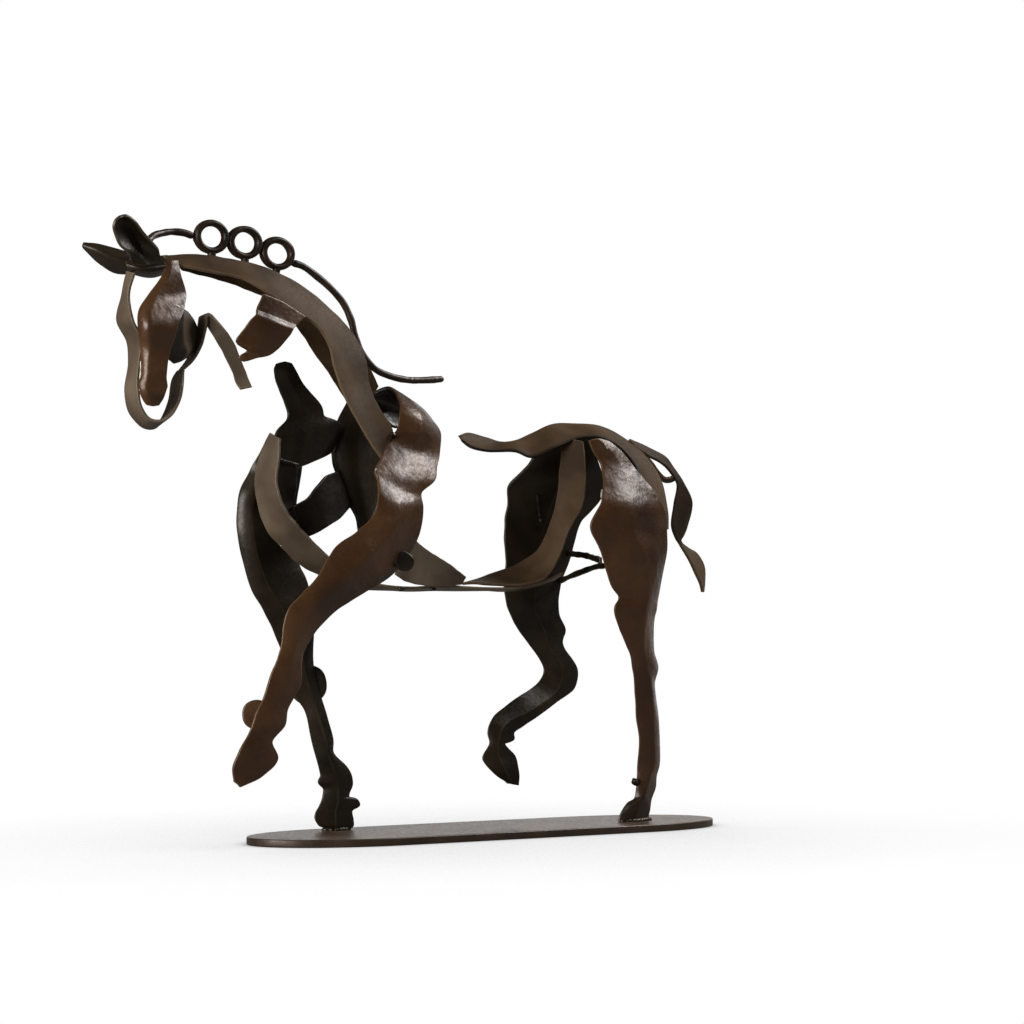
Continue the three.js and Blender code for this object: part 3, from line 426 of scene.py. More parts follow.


# Raised foreleg and shoulder on the near side, rolled over at the top

# The back of the sheet is darkened over the top of the roll and down its inside: painted shade.
nearForeleg = {"look": "brown", "thickness": 1.5, "foldRound": 0.5, "seed": 5,
               "paintedShadeBack": ((0, 0.76, 0.82, 1), (0, 0, 1, 1)), "backFirst": True, "rows": [
    [[-129, -18, 22.5], [-127.5, -18, 21.5], [-126.5, -18, 20.5]],
    [[-130, -19, 29], [-124, -19.5, 26], [-117.5, -19, 24.5]],
    [[-127, -20, 35.5], [-120, -20.5, 33.5], [-111, -19, 30.5]],
    [[-123.5, -20, 41], [-119, -20.5, 39.5], [-113.5, -19, 37]],
    [[-121.5, -21, 47], [-115.5, -21.5, 45], [-108, -19, 43]],
    [[-118.5, -21, 53.5], [-113.5, -21.5, 51], [-107, -19, 49]],
    [[-115.5, -22, 62], [-109.5, -22.5, 60], [-102, -20, 58]],
    [[-111.5, -22, 72.5], [-107, -23.5, 70.5], [-101, -20, 69]],
    [[-109.5, -23, 85], [-103.5, -24.5, 81.5], [-95.5, -21, 78.5]],
    [[-103.5, -24, 92], [-97, -25.5, 88.5], [-86, -21, 86.5]],
    [[-96.5, -24, 98.5], [-88.5, -26.5, 95], [-74, -21, 93]],
    [[-89.5, -24, 109], [-79.5, -28, 104], [-61, -21, 100]],
    [[-79.5, -25, 115.5], [-69, -28, 113], [-51.5, -21, 110.5]],
    [[-73.5, -25, 121], [-64, -28, 119.5], [-47.5, -20, 119]],
    [[-70.5, -25, 127.5], [-62.5, -27, 126], [-47.5, -21, 125.5]],
    [[-68.5, -21.5, 135.5], [-59, -22.8, 131.5], [-47.5, -19.8, 131]],
    [[-68.5, -19.5, 139], [-56.5, -21, 136.5], [-39.5, -17.5, 136.5]],
    [[-64, -16.5, 143.5], [-52.5, -18, 142.5], [-36.5, -14.5, 141.5]],
    [[-57.5, -12.8, 152], [-48.5, -15.2, 148.5], [-33, -11, 147]],
    [[-54, -13, 156], [-45, -15.5, 155], [-30.5, -8, 156]],
    [[-52, -12, 163], [-44, -14, 161], [-32, -6, 160]],
    [[-49, -6, 168.5], [-43, -7, 166.5], [-34, -2, 165]],
    [[-48.5, 2, 173.5], [-44.5, 2, 171.5], [-38.5, 4, 169.5]],
    [[-51.5, 7, 171.5], [-45, 8, 169.5], [-37.5, 8, 167.5]],
    [[-50, 9.5, 168.5], [-43, 10, 166], [-35.5, 10, 164]],
    [[-45.5, 9, 162], [-41, 9, 160.5], [-36, 9, 160]],
    [[-42.5, 8, 159], [-40.5, 8, 158.5], [-37.5, 8, 158.5]],
]}
sheetPiece("near_foreleg", nearForeleg)


# Hind legs

nearHindLeg = {"look": "brown", "thickness": 1.5, "seed": 7,
               "darkenAlong": ((0, 0.78, 0.88, 1), (0, 0, 0.75, 0.9)), "rows": [
    [[37, -16.5, 155], [40.5, -17.2, 156], [47, -16.2, 155]],
    [[38.5, -17, 151], [45, -17.8, 152.5], [54, -16.8, 150.5]],
    [[42, -17.8, 145.5], [50.5, -19, 146.5], [60, -18.3, 143.5]],
    [[40.5, -21.2, 137.5], [52, -23.2, 136.5], [68, -20.8, 134]],
    [[37, -24.3, 129.5], [51, -27, 128], [73, -20.8, 126.5]],
    [[32.5, -23, 120], [51, -27, 119], [76, -18, 118.5]],
    [[37.5, -23, 111], [56.5, -26.5, 109.5], [75.5, -18, 109]],
    [[44.5, -21.5, 96], [60.5, -25, 95.5], [73, -17, 96.5]],
    [[48.5, -21, 91.5], [60.5, -24.5, 91], [72, -16.5, 91]],
    [[46.5, -21, 88], [60, -24, 87.5], [72, -16, 87]],
    [[47, -20.5, 84.5], [60, -23.5, 83.5], [71.5, -15.5, 83.5]],
    [[49.5, -20, 79.5], [60, -23, 79], [71.5, -15, 78.5]],
    [[56.5, -18, 69], [61.5, -21, 69.5], [72, -14, 69.5]],
    [[58.5, -17.5, 63], [63.5, -20, 63.5], [74.5, -13.5, 63]],
    [[59.5, -17, 57.5], [66, -19, 58], [73, -13, 57]],
    [[61.5, -15.5, 50], [68, -18, 50], [74, -12.5, 50]],
    [[63, -14.5, 41], [69.5, -17, 41], [76.5, -11.5, 40.5]],
    [[64.5, -14, 33], [70.5, -16, 33.5], [77.5, -11, 32.5]],
    [[65.5, -12, 23.5], [71, -15, 23], [78, -10, 23]],
    [[65.5, -11.5, 18], [69.5, -14.5, 18.5], [77, -9.5, 18.5]],
    [[65.5, -11, 13.5], [69, -13.5, 14], [77, -9, 13.5]],
    [[65, -10.5, 9], [67.5, -13.5, 10], [75, -8.5, 8.5]],
    [[61.5, -10, 7], [65, -13, 6.5], [74.5, -8, 4.5]],
    [[58.5, -9, 2.5], [63.5, -12, 2], [74.5, -7, 1.5]],
    [[57.5, -9, -1], [63.5, -12, -1], [75.5, -7, -1]],
]}
sheetPiece("near_hind_leg", nearHindLeg)

farHindLeg = {"look": "dark", "thickness": 1.5, "foldRound": 0.3, "seed": 9, "paintRidgeHighlight": True, "rows": [
    [[31, 7, 157], [44, 5, 163], [58, 5, 163]],
    [[29, 12, 148], [43, 10, 151.5], [62, 11, 151]],
    [[27.5, 17, 143.5], [44, 12, 144], [67.5, 14, 143]],
    [[24.5, 22, 137.5], [45, 16, 137.5], [69, 16, 135]],
    [[25.5, 24, 130], [44, 19, 130], [64.5, 18, 128.5]],
    [[25, 25, 123.5], [43, 21, 124], [60.5, 20, 124]],
    [[24.5, 25, 115.5], [40.5, 21, 115], [58.5, 22, 115]],
    [[25.5, 25, 106.5], [40, 21, 106.5], [56.5, 23, 107]],
    [[24.5, 25, 98], [38, 21, 97], [52, 23, 97.5]],
    [[26, 25, 88.5], [37, 21, 88], [51.5, 23, 86]],
    [[32, 25, 78.5], [42, 22, 79.5], [54.5, 23, 78.5]],
    [[40, 25, 69.5], [46, 22, 71], [53, 23, 73]],
    [[45, 25, 62], [52, 22, 63], [61, 23, 61.5]],
    [[42, 25, 56.5], [49.5, 22, 53.5], [59.5, 23, 54.5]],
    [[29.5, 24, 50], [37, 21, 46], [49, 22, 48.5]],
    [[20.5, 24, 44.5], [25.5, 21, 41.5], [32.5, 22, 39]],
    [[15.5, 23, 40], [20, 20.3, 38], [26.7, 21.3, 36]],
    [[14.5, 22.7, 36.5], [18.5, 20, 35], [26.7, 21, 33.5]],
    [[15, 22, 32], [17.8, 20, 32], [21.8, 21, 31.8]],
    [[11.5, 22, 26], [18, 20, 27], [27, 21, 26.5]],
    [[15.5, 21, 20.5], [21, 19, 20.5], [28.5, 20, 19]],
    [[23, 20, 15.5], [25.5, 20, 15], [28.5, 20, 14.5]],
]}
sheetPiece("far_hind_leg", farHindLeg)


# Strip over the croup, twisted at the loin

# The strip is darkened along its lower edge: painted shade.
croupStrip = {"look": "strip", "foldRound": 0.8, "seed": 11,
              "paintedShadeAcross": ((0, 0.9, 0.95, 1), (0, 0, 0.8, 0.9)), "rows": [
    [[-14.5, 2, 156], [-13.5, 2, 155], [-13.5, 1, 154]],
    [[-8.5, 4, 157.5], [-9.5, 2, 154.5], [-11.5, -2, 151.5]],
    [[0, 4, 156], [-1.5, 1, 152.5], [-4, -3, 150]],
    [[6.5, 3, 154], [5.5, 1, 152.5], [2.5, -3, 150]],
    [[15, 4, 155], [12.5, 0, 153], [9, -5, 150]],
    [[24.5, 6, 158.5], [19.5, -1, 154], [15.5, -7, 148]],
    [[36, 7, 162.5], [28.5, -3, 157.5], [26, -9, 152]],
    [[48, 7, 163.5], [41, -3, 159.5], [37, -9, 156]],
    [[60, 6, 163], [51.5, -4, 160], [46.5, -10, 157]],
    [[69.5, 3, 158.5], [60.5, -5, 157], [52.5, -12, 155]],
    [[76.5, 0, 153.5], [66, -8, 152], [57.5, -14, 151]],
    [[80, -4, 147], [70, -11, 146], [61.5, -16, 145]],
    [[82, -8, 139], [72, -14, 138.5], [61.5, -19, 139]],
    [[81, -12, 129], [74, -16, 129.5], [65, -21, 130.5]],
    [[79, -15, 120], [76, -17, 120.5], [70.5, -21, 122]],
]}
sheetPiece("croup_strip", croupStrip)


# Neck strips

nearCrest = {"look": "strip", "crown": 0.7, "seed": 13, "rows": [
    [[-148.5, 2, 217.5], [-147.5, -3, 214]],
    [[-140.5, 2, 218.5], [-139, -5, 212.5]],
    [[-127.5, 2, 219], [-129.5, -6, 211.5]],
    [[-114, 2, 218], [-119.5, -7, 210]],
    [[-98.5, 1, 214.5], [-110.5, -9, 205.5]],
    [[-84.5, 0, 207.5], [-98, -10, 199]],
    [[-75, -1, 200.5], [-89.5, -11, 194]],
    [[-66.5, -2, 192], [-84.5, -12, 187]],
    [[-63.5, -5, 183], [-83, -13, 179.5]],
    [[-63.5, -8, 172.5], [-80, -14, 170.5]],
    [[-61, -11, 164], [-74.5, -15, 160]],
    [[-56, -13, 155.5], [-68, -16, 150]],
    [[-58.5, -14, 149.5], [-63.5, -16, 144.5]],
]}
sheetPiece("near_crest_strip", nearCrest)

farCrest = {"look": "strip", "crown": 0.7, "seed": 15, "rows": [
    [[-144, 5, 218], [-136.5, 9, 213.5]],
    [[-126, 5, 218.5], [-123, 10, 212]],
    [[-111.5, 5, 217.5], [-106.5, 11, 208.5]],
    [[-95.5, 5, 214.5], [-94.5, 12, 204.5]],
    [[-81.5, 5, 207], [-82.5, 14, 195.5]],
    [[-70, 5, 200], [-73, 16, 186]],
    [[-60.5, 6, 191.5], [-64.5, 17, 177]],
    [[-54, 8, 184], [-57.5, 18, 169]],
    [[-46, 12, 175], [-51, 18, 161.5]],
]}
sheetPiece("far_crest_strip", farCrest)


# Straps round the barrel

chestStrap = {"look": "strap", "crown": 0.4, "seed": 17, "rows": [
    [[-97.5, 9, 154], [-101, -4, 151]],
    [[-101.5, 9, 146.5], [-101.5, -4, 143]],
    [[-104, 9, 136.5], [-102.5, -4, 134.5]],
    [[-103, 9, 127], [-101, -5, 127]],
    [[-99, 9, 117], [-95.5, -5, 119.5]],
    [[-92.5, 9, 110.5], [-89, -5, 114]],
    [[-85, 9, 104.5], [-80, -5, 106.5]],
    [[-74, 9, 99.5], [-70, -5, 100.5]],
    [[-61, 9, 95.5], [-59, -5, 96.5]],
    [[-42.5, 9, 94.5], [-42, -5, 95]],
    [[-22.5, 9, 94.5], [-22.5, -5, 95.5]],
    [[-3, 9, 95], [-3, -5, 95]],
    [[12, 9, 94.6], [11, -5, 95.5]],
    [[26, 8, 96.2], [22, -6, 98.3]],
    [[35, 7, 98.8], [31, -7, 101.7]],
]}
sheetPiece("chest_strap", chestStrap)

flankStrap = {"look": "strip", "crown": 0.4, "seed": 19, "rows": [
    [[33, -4, 157], [37.5, -12, 155]],
    [[31, -5, 143.5], [37.5, -14, 141.5]],
    [[29.5, -5, 132.5], [36.5, -13, 129]],
    [[27, -3, 120], [31, -12, 119]],
    [[25, 2, 111], [27.5, -10, 109]],
    [[19, 6, 105.5], [22.5, -8, 100]],
    [[11, 9, 102], [11.5, -6, 96.5]],
    [[3, 10, 99.5], [0.5, -5, 96.5]],
    [[-7, 10, 97], [-8, -5, 96.7]],
]}
sheetPiece("flank_strap", flankStrap)


# Breast and far shoulder

breastPlate = {"look": "dark", "thickness": 1.5, "seed": 21, "rows": [
    [[-99.5, 2, 180], [-96, 1.5, 181], [-93, 2, 180.5]],
    [[-100.5, 2, 178], [-96.5, 1, 178.5], [-91.5, 2, 178.5]],
    [[-99, 3, 173.5], [-94, 2, 174], [-86, 3.5, 172.5]],
    [[-94.5, 4, 165.5], [-88, 3, 167], [-76.5, 6, 165]],
    [[-93, 4, 160], [-85, 4, 161], [-73.5, 9, 161.5]],
    [[-99, 3, 153.5], [-86, 4, 153], [-63, 13, 158.5]],
    [[-99.5, 2, 144], [-87.5, 5, 141], [-66.5, 15, 148]],
]}
sheetPiece("breast_plate", breastPlate)

farShoulder = {"look": "dark", "thickness": 1.5, "foldRound": 0.7, "seed": 23, "rows": [
    [[-57.5, 17, 168], [-54.5, 15, 169.5], [-48, 17, 169]],
    [[-61.5, 17, 162], [-55, 13, 162.5], [-43, 17, 162]],
    [[-65, 17, 148.5], [-56.5, 12, 150.5], [-39.5, 18, 150]],
    [[-62.5, 17, 139.5], [-55.5, 12, 139.5], [-39.5, 18, 140]],
    [[-57, 17, 128.5], [-52, 13, 129.5], [-41.5, 18, 130]],
    [[-53, 17, 122.5], [-50.5, 14, 122.5], [-44, 18, 123.5]],
    [[-51.5, 18, 117.5], [-50, 17, 118.5], [-47, 18, 119.5]],
]}
sheetPiece("far_shoulder", farShoulder)

breastLimb = {"look": "dark", "seed": 25, "rows": [
    [[-102, 2, 143], [-89, 4, 142]],
    [[-103, 1, 136], [-89, 4, 136.5]],
    [[-102, 1, 131], [-90, 3, 132]],
    [[-100.5, 1, 126], [-90.5, 3, 128.5]],
    [[-96.5, 1, 121], [-89, 3, 126]],
]}
sheetPiece("breast_limb", breastLimb)

breastWeb = {"look": "dark", "seed": 27, "rows": [
    [[-88.5, 1.8, 113], [-93, 0.8, 125.5]],
    [[-80.5, 3, 115.5], [-86, 2, 128.5]],
    [[-73, 5, 119], [-79, 5, 134]],
    [[-63.5, 11, 123], [-72, 9, 138.5]],
    [[-55, 17, 128.5], [-60.5, 16, 141.5]],
]}
sheetPiece("breast_web", breastWeb)


# Gusset between the elbow and the belly

girthGusset = {"look": "strap", "wave": 0.4, "seed": 29, "rows": [
    [[-59, -19.8, 99.5], [-50.5, -19.2, 114]],
    [[-50.5, -14, 97], [-37.5, -11, 109]],
    [[-34.5, -8.5, 95.5], [-25.5, -6.5, 104.5]],
    [[-18, -5, 96.5], [-16.5, -6, 99.5]],
]}
sheetPiece("girth_gusset", girthGusset)


# Head

throatLeaf = {"look": "brown", "foldRound": 0.35, "seed": 31, "rows": [
    [[-113.5, -10.9, 204.5], [-104.5, -11.4, 202], [-94.5, -11.4, 197]],
    [[-116, -11.6, 199.5], [-108, -12.2, 197], [-98.5, -12, 194]],
    [[-116.5, -11.9, 198], [-108.5, -12.6, 195.5], [-99.5, -12.4, 193]],
    [[-117.5, -13.2, 196.5], [-110, -14, 194], [-101.5, -13.8, 191.5]],
    [[-119, -12.9, 194.5], [-112, -13.8, 191.5], [-102.5, -13.2, 189.5]],
    [[-122.5, -10.5, 189], [-115, -12, 186], [-106, -11.5, 185]],
    [[-124, -9.5, 186], [-118.5, -11, 184], [-109.5, -10.5, 182]],
    [[-119, -9, 183], [-116.5, -9.5, 182], [-114, -9.5, 180.5]],
    [[-121, -8, 181.5], [-119.5, -8.5, 180.5], [-117, -8.5, 179.5]],
    [[-121.5, -7, 180.5], [-121, -7.5, 179.5], [-119.5, -7.5, 179]],
]}
sheetPiece("throat_leaf", throatLeaf)

facePlate = {"look": "brown", "foldRound": 0.4, "seed": 33, "rows": [
    [[-151, -3.5, 215], [-149, -4.5, 215], [-145.5, -3.5, 215.5]],
    [[-152.5, -4.5, 209], [-150.5, -6, 209], [-145, -4.5, 210.5]],
    [[-158, -5, 202], [-155.5, -7, 202], [-142.5, -4.5, 203]],
    [[-162, -5, 195.5], [-160, -9, 195.5], [-144.5, -7.5, 197.5]],
    [[-162.5, -5.5, 189.5], [-161.5, -11, 189.5], [-149, -10, 190]],
    [[-161, -5, 181], [-159.5, -8, 181], [-151, -8, 181.5]],
    [[-161, -5, 172], [-160, -8, 172], [-152.5, -7.8, 172]],
    [[-162, -5, 168.5], [-160.5, -7.8, 168.5], [-151.5, -7, 168]],
    [[-161.5, -5, 165], [-160, -7.5, 165], [-152.5, -7, 165.5]],
    [[-160.5, -5, 162.5], [-157, -6, 162], [-152.5, -5, 163.5]],
    [[-159, -5, 161], [-157, -5.5, 160.5], [-154, -5, 161]],
]}
sheetPiece("face_plate", facePlate)

faceStrap = {"look": "strap", "seed": 35, "rows": [
    [[-162.5, 4, 211], [-163, -3, 209.5]],
    [[-164, 5, 202], [-164, 0, 201]],
    [[-165, 7, 193], [-164, -4, 192]],
    [[-160.5, 7, 185], [-160.5, -4, 185.5]],
    [[-160.5, 6, 177.5], [-160.5, -3, 177.5]],
    [[-162, 6, 166.5], [-161.5, -3, 167.5]],
    [[-159.5, 6, 158], [-160, -3, 160.5]],
    [[-154.5, 6, 153.5], [-156.5, -3, 156]],
    [[-150, 6, 153.5], [-152.5, -4, 155.5]],
    [[-147, 6, 156.5], [-148, -4, 158]],
    [[-143.5, 6, 164], [-145, -4, 162.5]],
    [[-142, 6, 172], [-143.5, -4, 169]],
    [[-140.5, 5, 175], [-140, 1, 175.5]],
]}
sheetPiece("face_strap", faceStrap)

jawStrap = {"look": "strap", "seed": 37, "rows": [
    [[-120.5, -6.5, 168.5], [-116.5, -8.5, 169.5]],
    [[-121, -4, 171.5], [-116.5, -6.5, 172.5]],
    [[-122, -4, 175], [-117.5, -6, 175.5]],
    [[-124, -3.5, 178.5], [-119.5, -6, 179.5]],
    [[-126.5, -3, 183.5], [-122, -6, 185]],
    [[-129.5, -2.5, 188], [-126, -6, 190]],
    [[-132, 3, 196], [-133, -5, 196]],
    [[-131.5, 6, 191], [-132.5, -2, 190.5]],
    [[-133.5, 6, 184.5], [-133.5, -1, 185]],
    [[-136, 6, 179.5], [-137, 0, 179]],
    [[-139.5, 6, 175], [-139.5, 2, 176]],
]}
sheetPiece("jaw_strap", jawStrap)

# The left half of the cheek plate is darkened: painted shade.
cheekPlate = {"look": "strap", "foldRound": 0.3, "seed": 39,
              "paintedShadeAcross": ((0, 0.42, 0.52, 1), (0.9, 0.9, 0, 0)), "rows": [
    [[-145, -6, 196.5], [-142.5, -3, 197.5], [-139, 1, 197]],
    [[-147, -6, 190.5], [-144, -5, 191], [-134, 4, 194]],
    [[-150, -6, 184], [-143, -4, 185.5], [-132, 5, 189.5]],
    [[-150, -5, 178.5], [-141, -3, 181.5], [-134, 4, 184.5]],
    [[-147, -3, 177], [-144, -2, 178], [-139, 1, 180]],
]}
sheetPiece("cheek_plate", cheekPlate)

pollPlate = {"look": "dark", "seed": 41, "rows": [
    [[-163.5, 5, 216.5], [-165.5, -1, 212.5], [-162.5, 3, 210.5]],
    [[-158, 6, 217], [-162.5, -4, 211.5], [-158, 2, 209.5]],
    [[-152, 6, 217], [-157.5, -5, 211.5], [-153, 2, 209.5]],
    [[-145, 5, 218], [-150, -4.5, 213], [-146.5, 2, 211.5]],
]}
sheetPiece("poll_plate", pollPlate)

nearEar = {"look": "dark", "foldRound": 0.4, "seed": 43, "rows": [
    [[-164, -3, 213], [-160, -5.5, 212], [-152.5, -3.5, 215]],
    [[-169, -7.5, 216.5], [-161, -4, 218], [-156, -7.5, 218.5]],
    [[-172.5, -8.5, 219], [-162.5, -4, 221.5], [-160, -8.5, 221.5]],
    [[-174.5, -9, 222.5], [-165, -5, 224.5], [-163.5, -9, 224.5]],
    [[-175.5, -10, 225], [-168.5, -6.5, 226], [-166.5, -10, 227]],
    [[-175, -10.5, 227], [-171, -8.5, 228], [-169, -10.5, 228.5]],
    [[-173.5, -11, 228.5], [-172, -10.5, 229], [-171, -11, 229]],
]}
sheetPiece("near_ear", nearEar)

farEar = {"look": "dark", "foldRound": 0.4, "seed": 45, "rows": [
    [[-161, 3, 217], [-160, 1, 213.5], [-157.5, 5, 210.5]],
    [[-164.5, 4, 218], [-165, 1, 214], [-161, 7, 210.5]],
    [[-169, 6, 219.5], [-170, 3, 215.5], [-166, 9, 211]],
    [[-173.5, 8, 220.5], [-174.5, 6, 218], [-171, 10, 214]],
    [[-177, 11, 221], [-178, 10, 220], [-177, 11, 219.5]],
]}
sheetPiece("far_ear", farEar)


# Tail

tailStrip = {"look": "strip", "seed": 47,
             "darkenAlong": ((0, 0.1, 0.35, 0.62, 0.72, 1), (0, 0.3, 0.7, 0.8, 0.2, 0)), "rows": [
    [[72.5, 2, 158], [71.5, 0, 157]],
    [[81, 3, 156], [73.5, -1, 154.5]],
    [[89, 4, 153.5], [80, -1, 151.5]],
    [[94, 4, 151], [87.5, 0, 149]],
    [[97.5, 4, 147], [91.5, 0, 146.5]],
    [[99.5, 3, 144], [95, 0, 142.5]],
    [[101.5, 2, 141], [96.5, 0, 139.5]],
    [[108, 4, 133], [93.5, -2, 131.5]],
    [[106.5, 5, 124], [91.5, -3, 122.5]],
    [[102.5, 3, 118.5], [95, -1, 117.5]],
    [[99.5, 1, 116], [98, 0, 115]],
    [[105, 3, 113], [99.5, -1, 112]],
    [[111, 4, 110.5], [102, -2, 107]],
    [[114.5, 4, 105.5], [105, -2, 102]],
    [[114, 3, 99.5], [108, -1, 98.5]],
    [[112.5, 2, 94.5], [111, 1, 94.5]],
]}
sheetPiece("tail_strip", tailStrip)

tailLoop = {"look": "strip", "seed": 49, "rows": [
    [[80.5, 2, 151.5], [79.5, -1, 150.5]],
    [[84, 3, 148.5], [83.5, 0, 148]],
    [[88.5, 4, 144], [86.5, 0, 145]],
    [[92.5, 4, 141], [90, 0, 142.5]],
    [[96.5, 4, 141], [93, 0, 142.5]],
    [[98.5, 3, 142], [95, 0, 143.5]],
]}
sheetPiece("tail_loop", tailLoop)


# Flat bars between the thighs: a row of two points across the bar at each point of its middle line

groinBars = {
    "groin_bar_upper": [[56, 21.5, 110.5], [48, 0, 109], [38.5, -22.3, 106.5]],
    "groin_bar_lower": [[51, 22, 99], [48, -5, 104], [42.5, -22.5, 104.5]],
}
groinBarWidth = 2.4
for barName, line in groinBars.items():
    barRows = [[[x, y, z + groinBarWidth / 2], [x, y, z - groinBarWidth / 2]] for x, y, z in line]
    sheetPiece(barName, {"look": "dark", "seed": 61, "rows": barRows})

print("stage: sheet pieces")


# Round discs and the elbow's slug, each turned about an axis that points sideways

discs = {
    "elbow_slug": {"centre": [-58.5, -25, 104.5], "radius": 3.8, "thickness": 2, "look": "dark", "seed": 3},
    "fetlock_disc": {"centre": [-120, -19, 47], "radius": 5.5, "thickness": 1.3, "look": "brown", "seed": 4},
    "knee_disc": {"centre": [-73.8, 19.5, 57], "radius": 7.65, "thickness": 1.3, "look": "dark", "seed": 5},
}
discForm = {"around": 48, "turn": -0.5, "bevel": 0.7, "waver": 0.03}  # turn: radians, towards the camera


def discPiece(node, v):
    # rings of points: the share of the radius and the height of each follow a rounded rim, and the radius
    # wavers as r (1 + waver (sin(2a) + sin(5a) / 2))
    around = discForm["around"]
    half = v["thickness"] / 2
    bevel = half * discForm["bevel"] / v["radius"]
    profile = [(0.4, half), (0.8, half), (1 - bevel, half), (1 - 0.3 * bevel, half * 0.75),
               (1.0, half * 0.3)]
    profile += [(r, -h) for r, h in profile[::-1]]
    a = np.linspace(0, 2 * math.pi, around, endpoint=False)
    waver = np.sin(2 * a + v["seed"]) + np.sin(5 * a + 2 * v["seed"]) / 2
    reach = v["radius"] * (1 + discForm["waver"] * waver)
    rings = [np.stack([r * reach * np.cos(a), np.full(around, h), r * reach * np.sin(a)], 1)
             for r, h in profile]
    points = np.concatenate(rings + [[[0, half, 0]], [[0, -half, 0]]])
    c, s = math.cos(discForm["turn"]), math.sin(discForm["turn"])
    points = points @ np.array([[c, s, 0], [-s, c, 0], [0, 0, 1]]) + np.array(v["centre"]) + [0, 0, plateTop]
    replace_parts(meshPiece(node + "_round", points, ringFaces(len(profile), around, False), v["look"]), node)


for discName, disc in discs.items():
    discPiece(discName, disc)


# The base plate

plateSizes = {"length": 220, "width": 60, "endLength": 50, "thickness": 3, "rim": 0.5, "cutDepth": 0.15,
              "paintedRimShadeMm": 0.3, "endSteps": 90, "sideSteps": 60, "rimSteps": 5}


def basePlate():
    # an outline with half-elliptical ends (l cos a, w sin a), carried round a rim of quarter circles; the
    # cut wavers along it as a sum of three sine waves
    v = plateSizes
    straight = v["length"] / 2 - v["endLength"]
    half = v["width"] / 2
    a = np.linspace(-math.pi / 2, math.pi / 2, v["endSteps"] + 1)[:-1]
    end = np.stack([straight + v["endLength"] * np.cos(a), half * np.sin(a)], 1)
    endNormal = unit(np.stack([np.cos(a) / v["endLength"], np.sin(a) / half], 1))
    steps = v["sideSteps"]
    side = np.stack([np.linspace(straight, -straight, steps + 1)[:-1], np.full(steps, half)], 1)
    sideNormal = np.tile([0.0, 1.0], (steps, 1))
    outline = np.concatenate([end, side, -end, -side])
    normal = np.concatenate([endNormal, sideNormal, -endNormal, -sideNormal])
    around = len(outline)
    a = np.linspace(0, 2 * math.pi, around, endpoint=False)
    cut = v["cutDepth"] - 0.06 * np.sin(3 * a + 1) - 0.04 * np.sin(17 * a) - 0.025 * np.sin(41 * a + 2)
    t, r = v["thickness"], v["rim"]
    arc = np.linspace(0, math.pi / 2, v["rimSteps"])
    inset = np.concatenate([r - r * np.sin(arc), r - r * np.cos(arc)])
    height = np.concatenate([r - r * np.cos(arc), t - r + r * np.sin(arc)])
    shares = (0.25, 0.5, 0.7, 0.85, 0.93, 0.97)
    rings = [np.column_stack([outline * f, np.full(around, 0.0)]) for f in shares]
    rings += [np.column_stack([outline - normal * (d + cut[:, None]), np.full(around, z)])
              for d, z in zip(inset, height)]
    rings += [np.column_stack([outline * f, np.full(around, t)]) for f in shares[::-1]]
    points = np.concatenate(rings + [[[0, 0, 0]], [[0, 0, t]]])
    flat = [farFromEdge] * len(shares)
    # the rim takes the plate's dark edge colour: painted shade on the plate's sides
    edge = np.concatenate([np.repeat(flat + [v["paintedRimShadeMm"]] * len(inset) + flat, around), [farFromEdge] * 2])
    faces = ringFaces(len(rings), around, False)
    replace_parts(meshPiece("base_plate_fine", points, faces, "plate", edge), "base_plate")


basePlate()


# Mane: rings of bent rod on posts, and the rod before and behind them

mane = {"rodRadius": 1.35, "ringHeight": 13.1, "ringLength": 15.2, "ringRod": 2.6, "ringDepth": 4,
        "postRadius": 1.65, "postFoot": 0.4, "postLap": 0.6, "swell": 0.015, "ringSteps": 96,
        "ringAround": 24, "postSteps": 14, "postAround": 18, "rodStep": 0.8, "rodAround": 20}
ringCentres = [[-127.5, 3, 226.5], [-113, 3, 225.5], [-98.5, 3, 222.5]]
ringFeet = [[-127, 3, 217.5], [-112.5, 3, 216.5], [-99.5, 3, 213]]
maneRods = {
    "mane_rod_front": [
        [-160.5, -5, 219.5], [-157.5, -3, 222], [-153.5, 0, 224.5], [-149, 2, 226], [-144.5, 3, 227],
        [-139, 3, 227], [-135, 3, 226],
    ],
    "mane_rod_back": [
        [-92, 3, 219.5], [-87, 3, 218.5], [-80.5, 3, 215], [-74.5, 3, 211], [-68.5, 3, 205.5],
        [-65.5, 2, 199], [-64, 1, 192], [-61.5, 0, 186], [-56, 0, 180.5], [-48, 1, 178], [-39, 2, 177],
        [-29.5, 3, 177.5], [-20.5, 4, 178.5],
    ],
}


def maneRing(i):
    # a ring of round rod in the x-z plane, drawn out along x and along its axis: the section's radius is
    # ringRod / 2, and the middle line a circle, before the ring is stretched to its length and depth
    radius = (mane["ringHeight"] - mane["ringRod"]) / 2
    stretch = np.array([mane["ringLength"] / mane["ringHeight"], mane["ringDepth"] / mane["ringRod"], 1])
    middle = np.array(ringCentres[i], float) + [0, 0, plateTop]
    low = np.array(ringFeet[i], float) + [0, 0, plateTop - mane["postFoot"]]
    a = np.linspace(0, 2 * math.pi, mane["ringSteps"], endpoint=False) - math.pi / 2
    swell = 1 + mane["swell"] * np.sin(2 * a + i)
    circle = np.stack([radius * swell * np.cos(a), 0 * a, radius * swell * np.sin(a)], 1)
    ringPoints, ringQuads = tube(circle, mane["ringRod"] / 2, mane["ringAround"], i + 11, 0.06, True)
    high = middle - [0, 0, radius - mane["postLap"]]
    path = low + (high - low) * np.linspace(0, 1, mane["postSteps"])[:, None]
    post = tube(path, mane["postRadius"], mane["postAround"], i + 21, 0.2)
    points, faces = joined([(middle + ringPoints * stretch, ringQuads), post])
    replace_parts(meshPiece(f"mane_ring_{i + 1}_fine", points, faces, "rod"), f"mane_ring_{i + 1}")


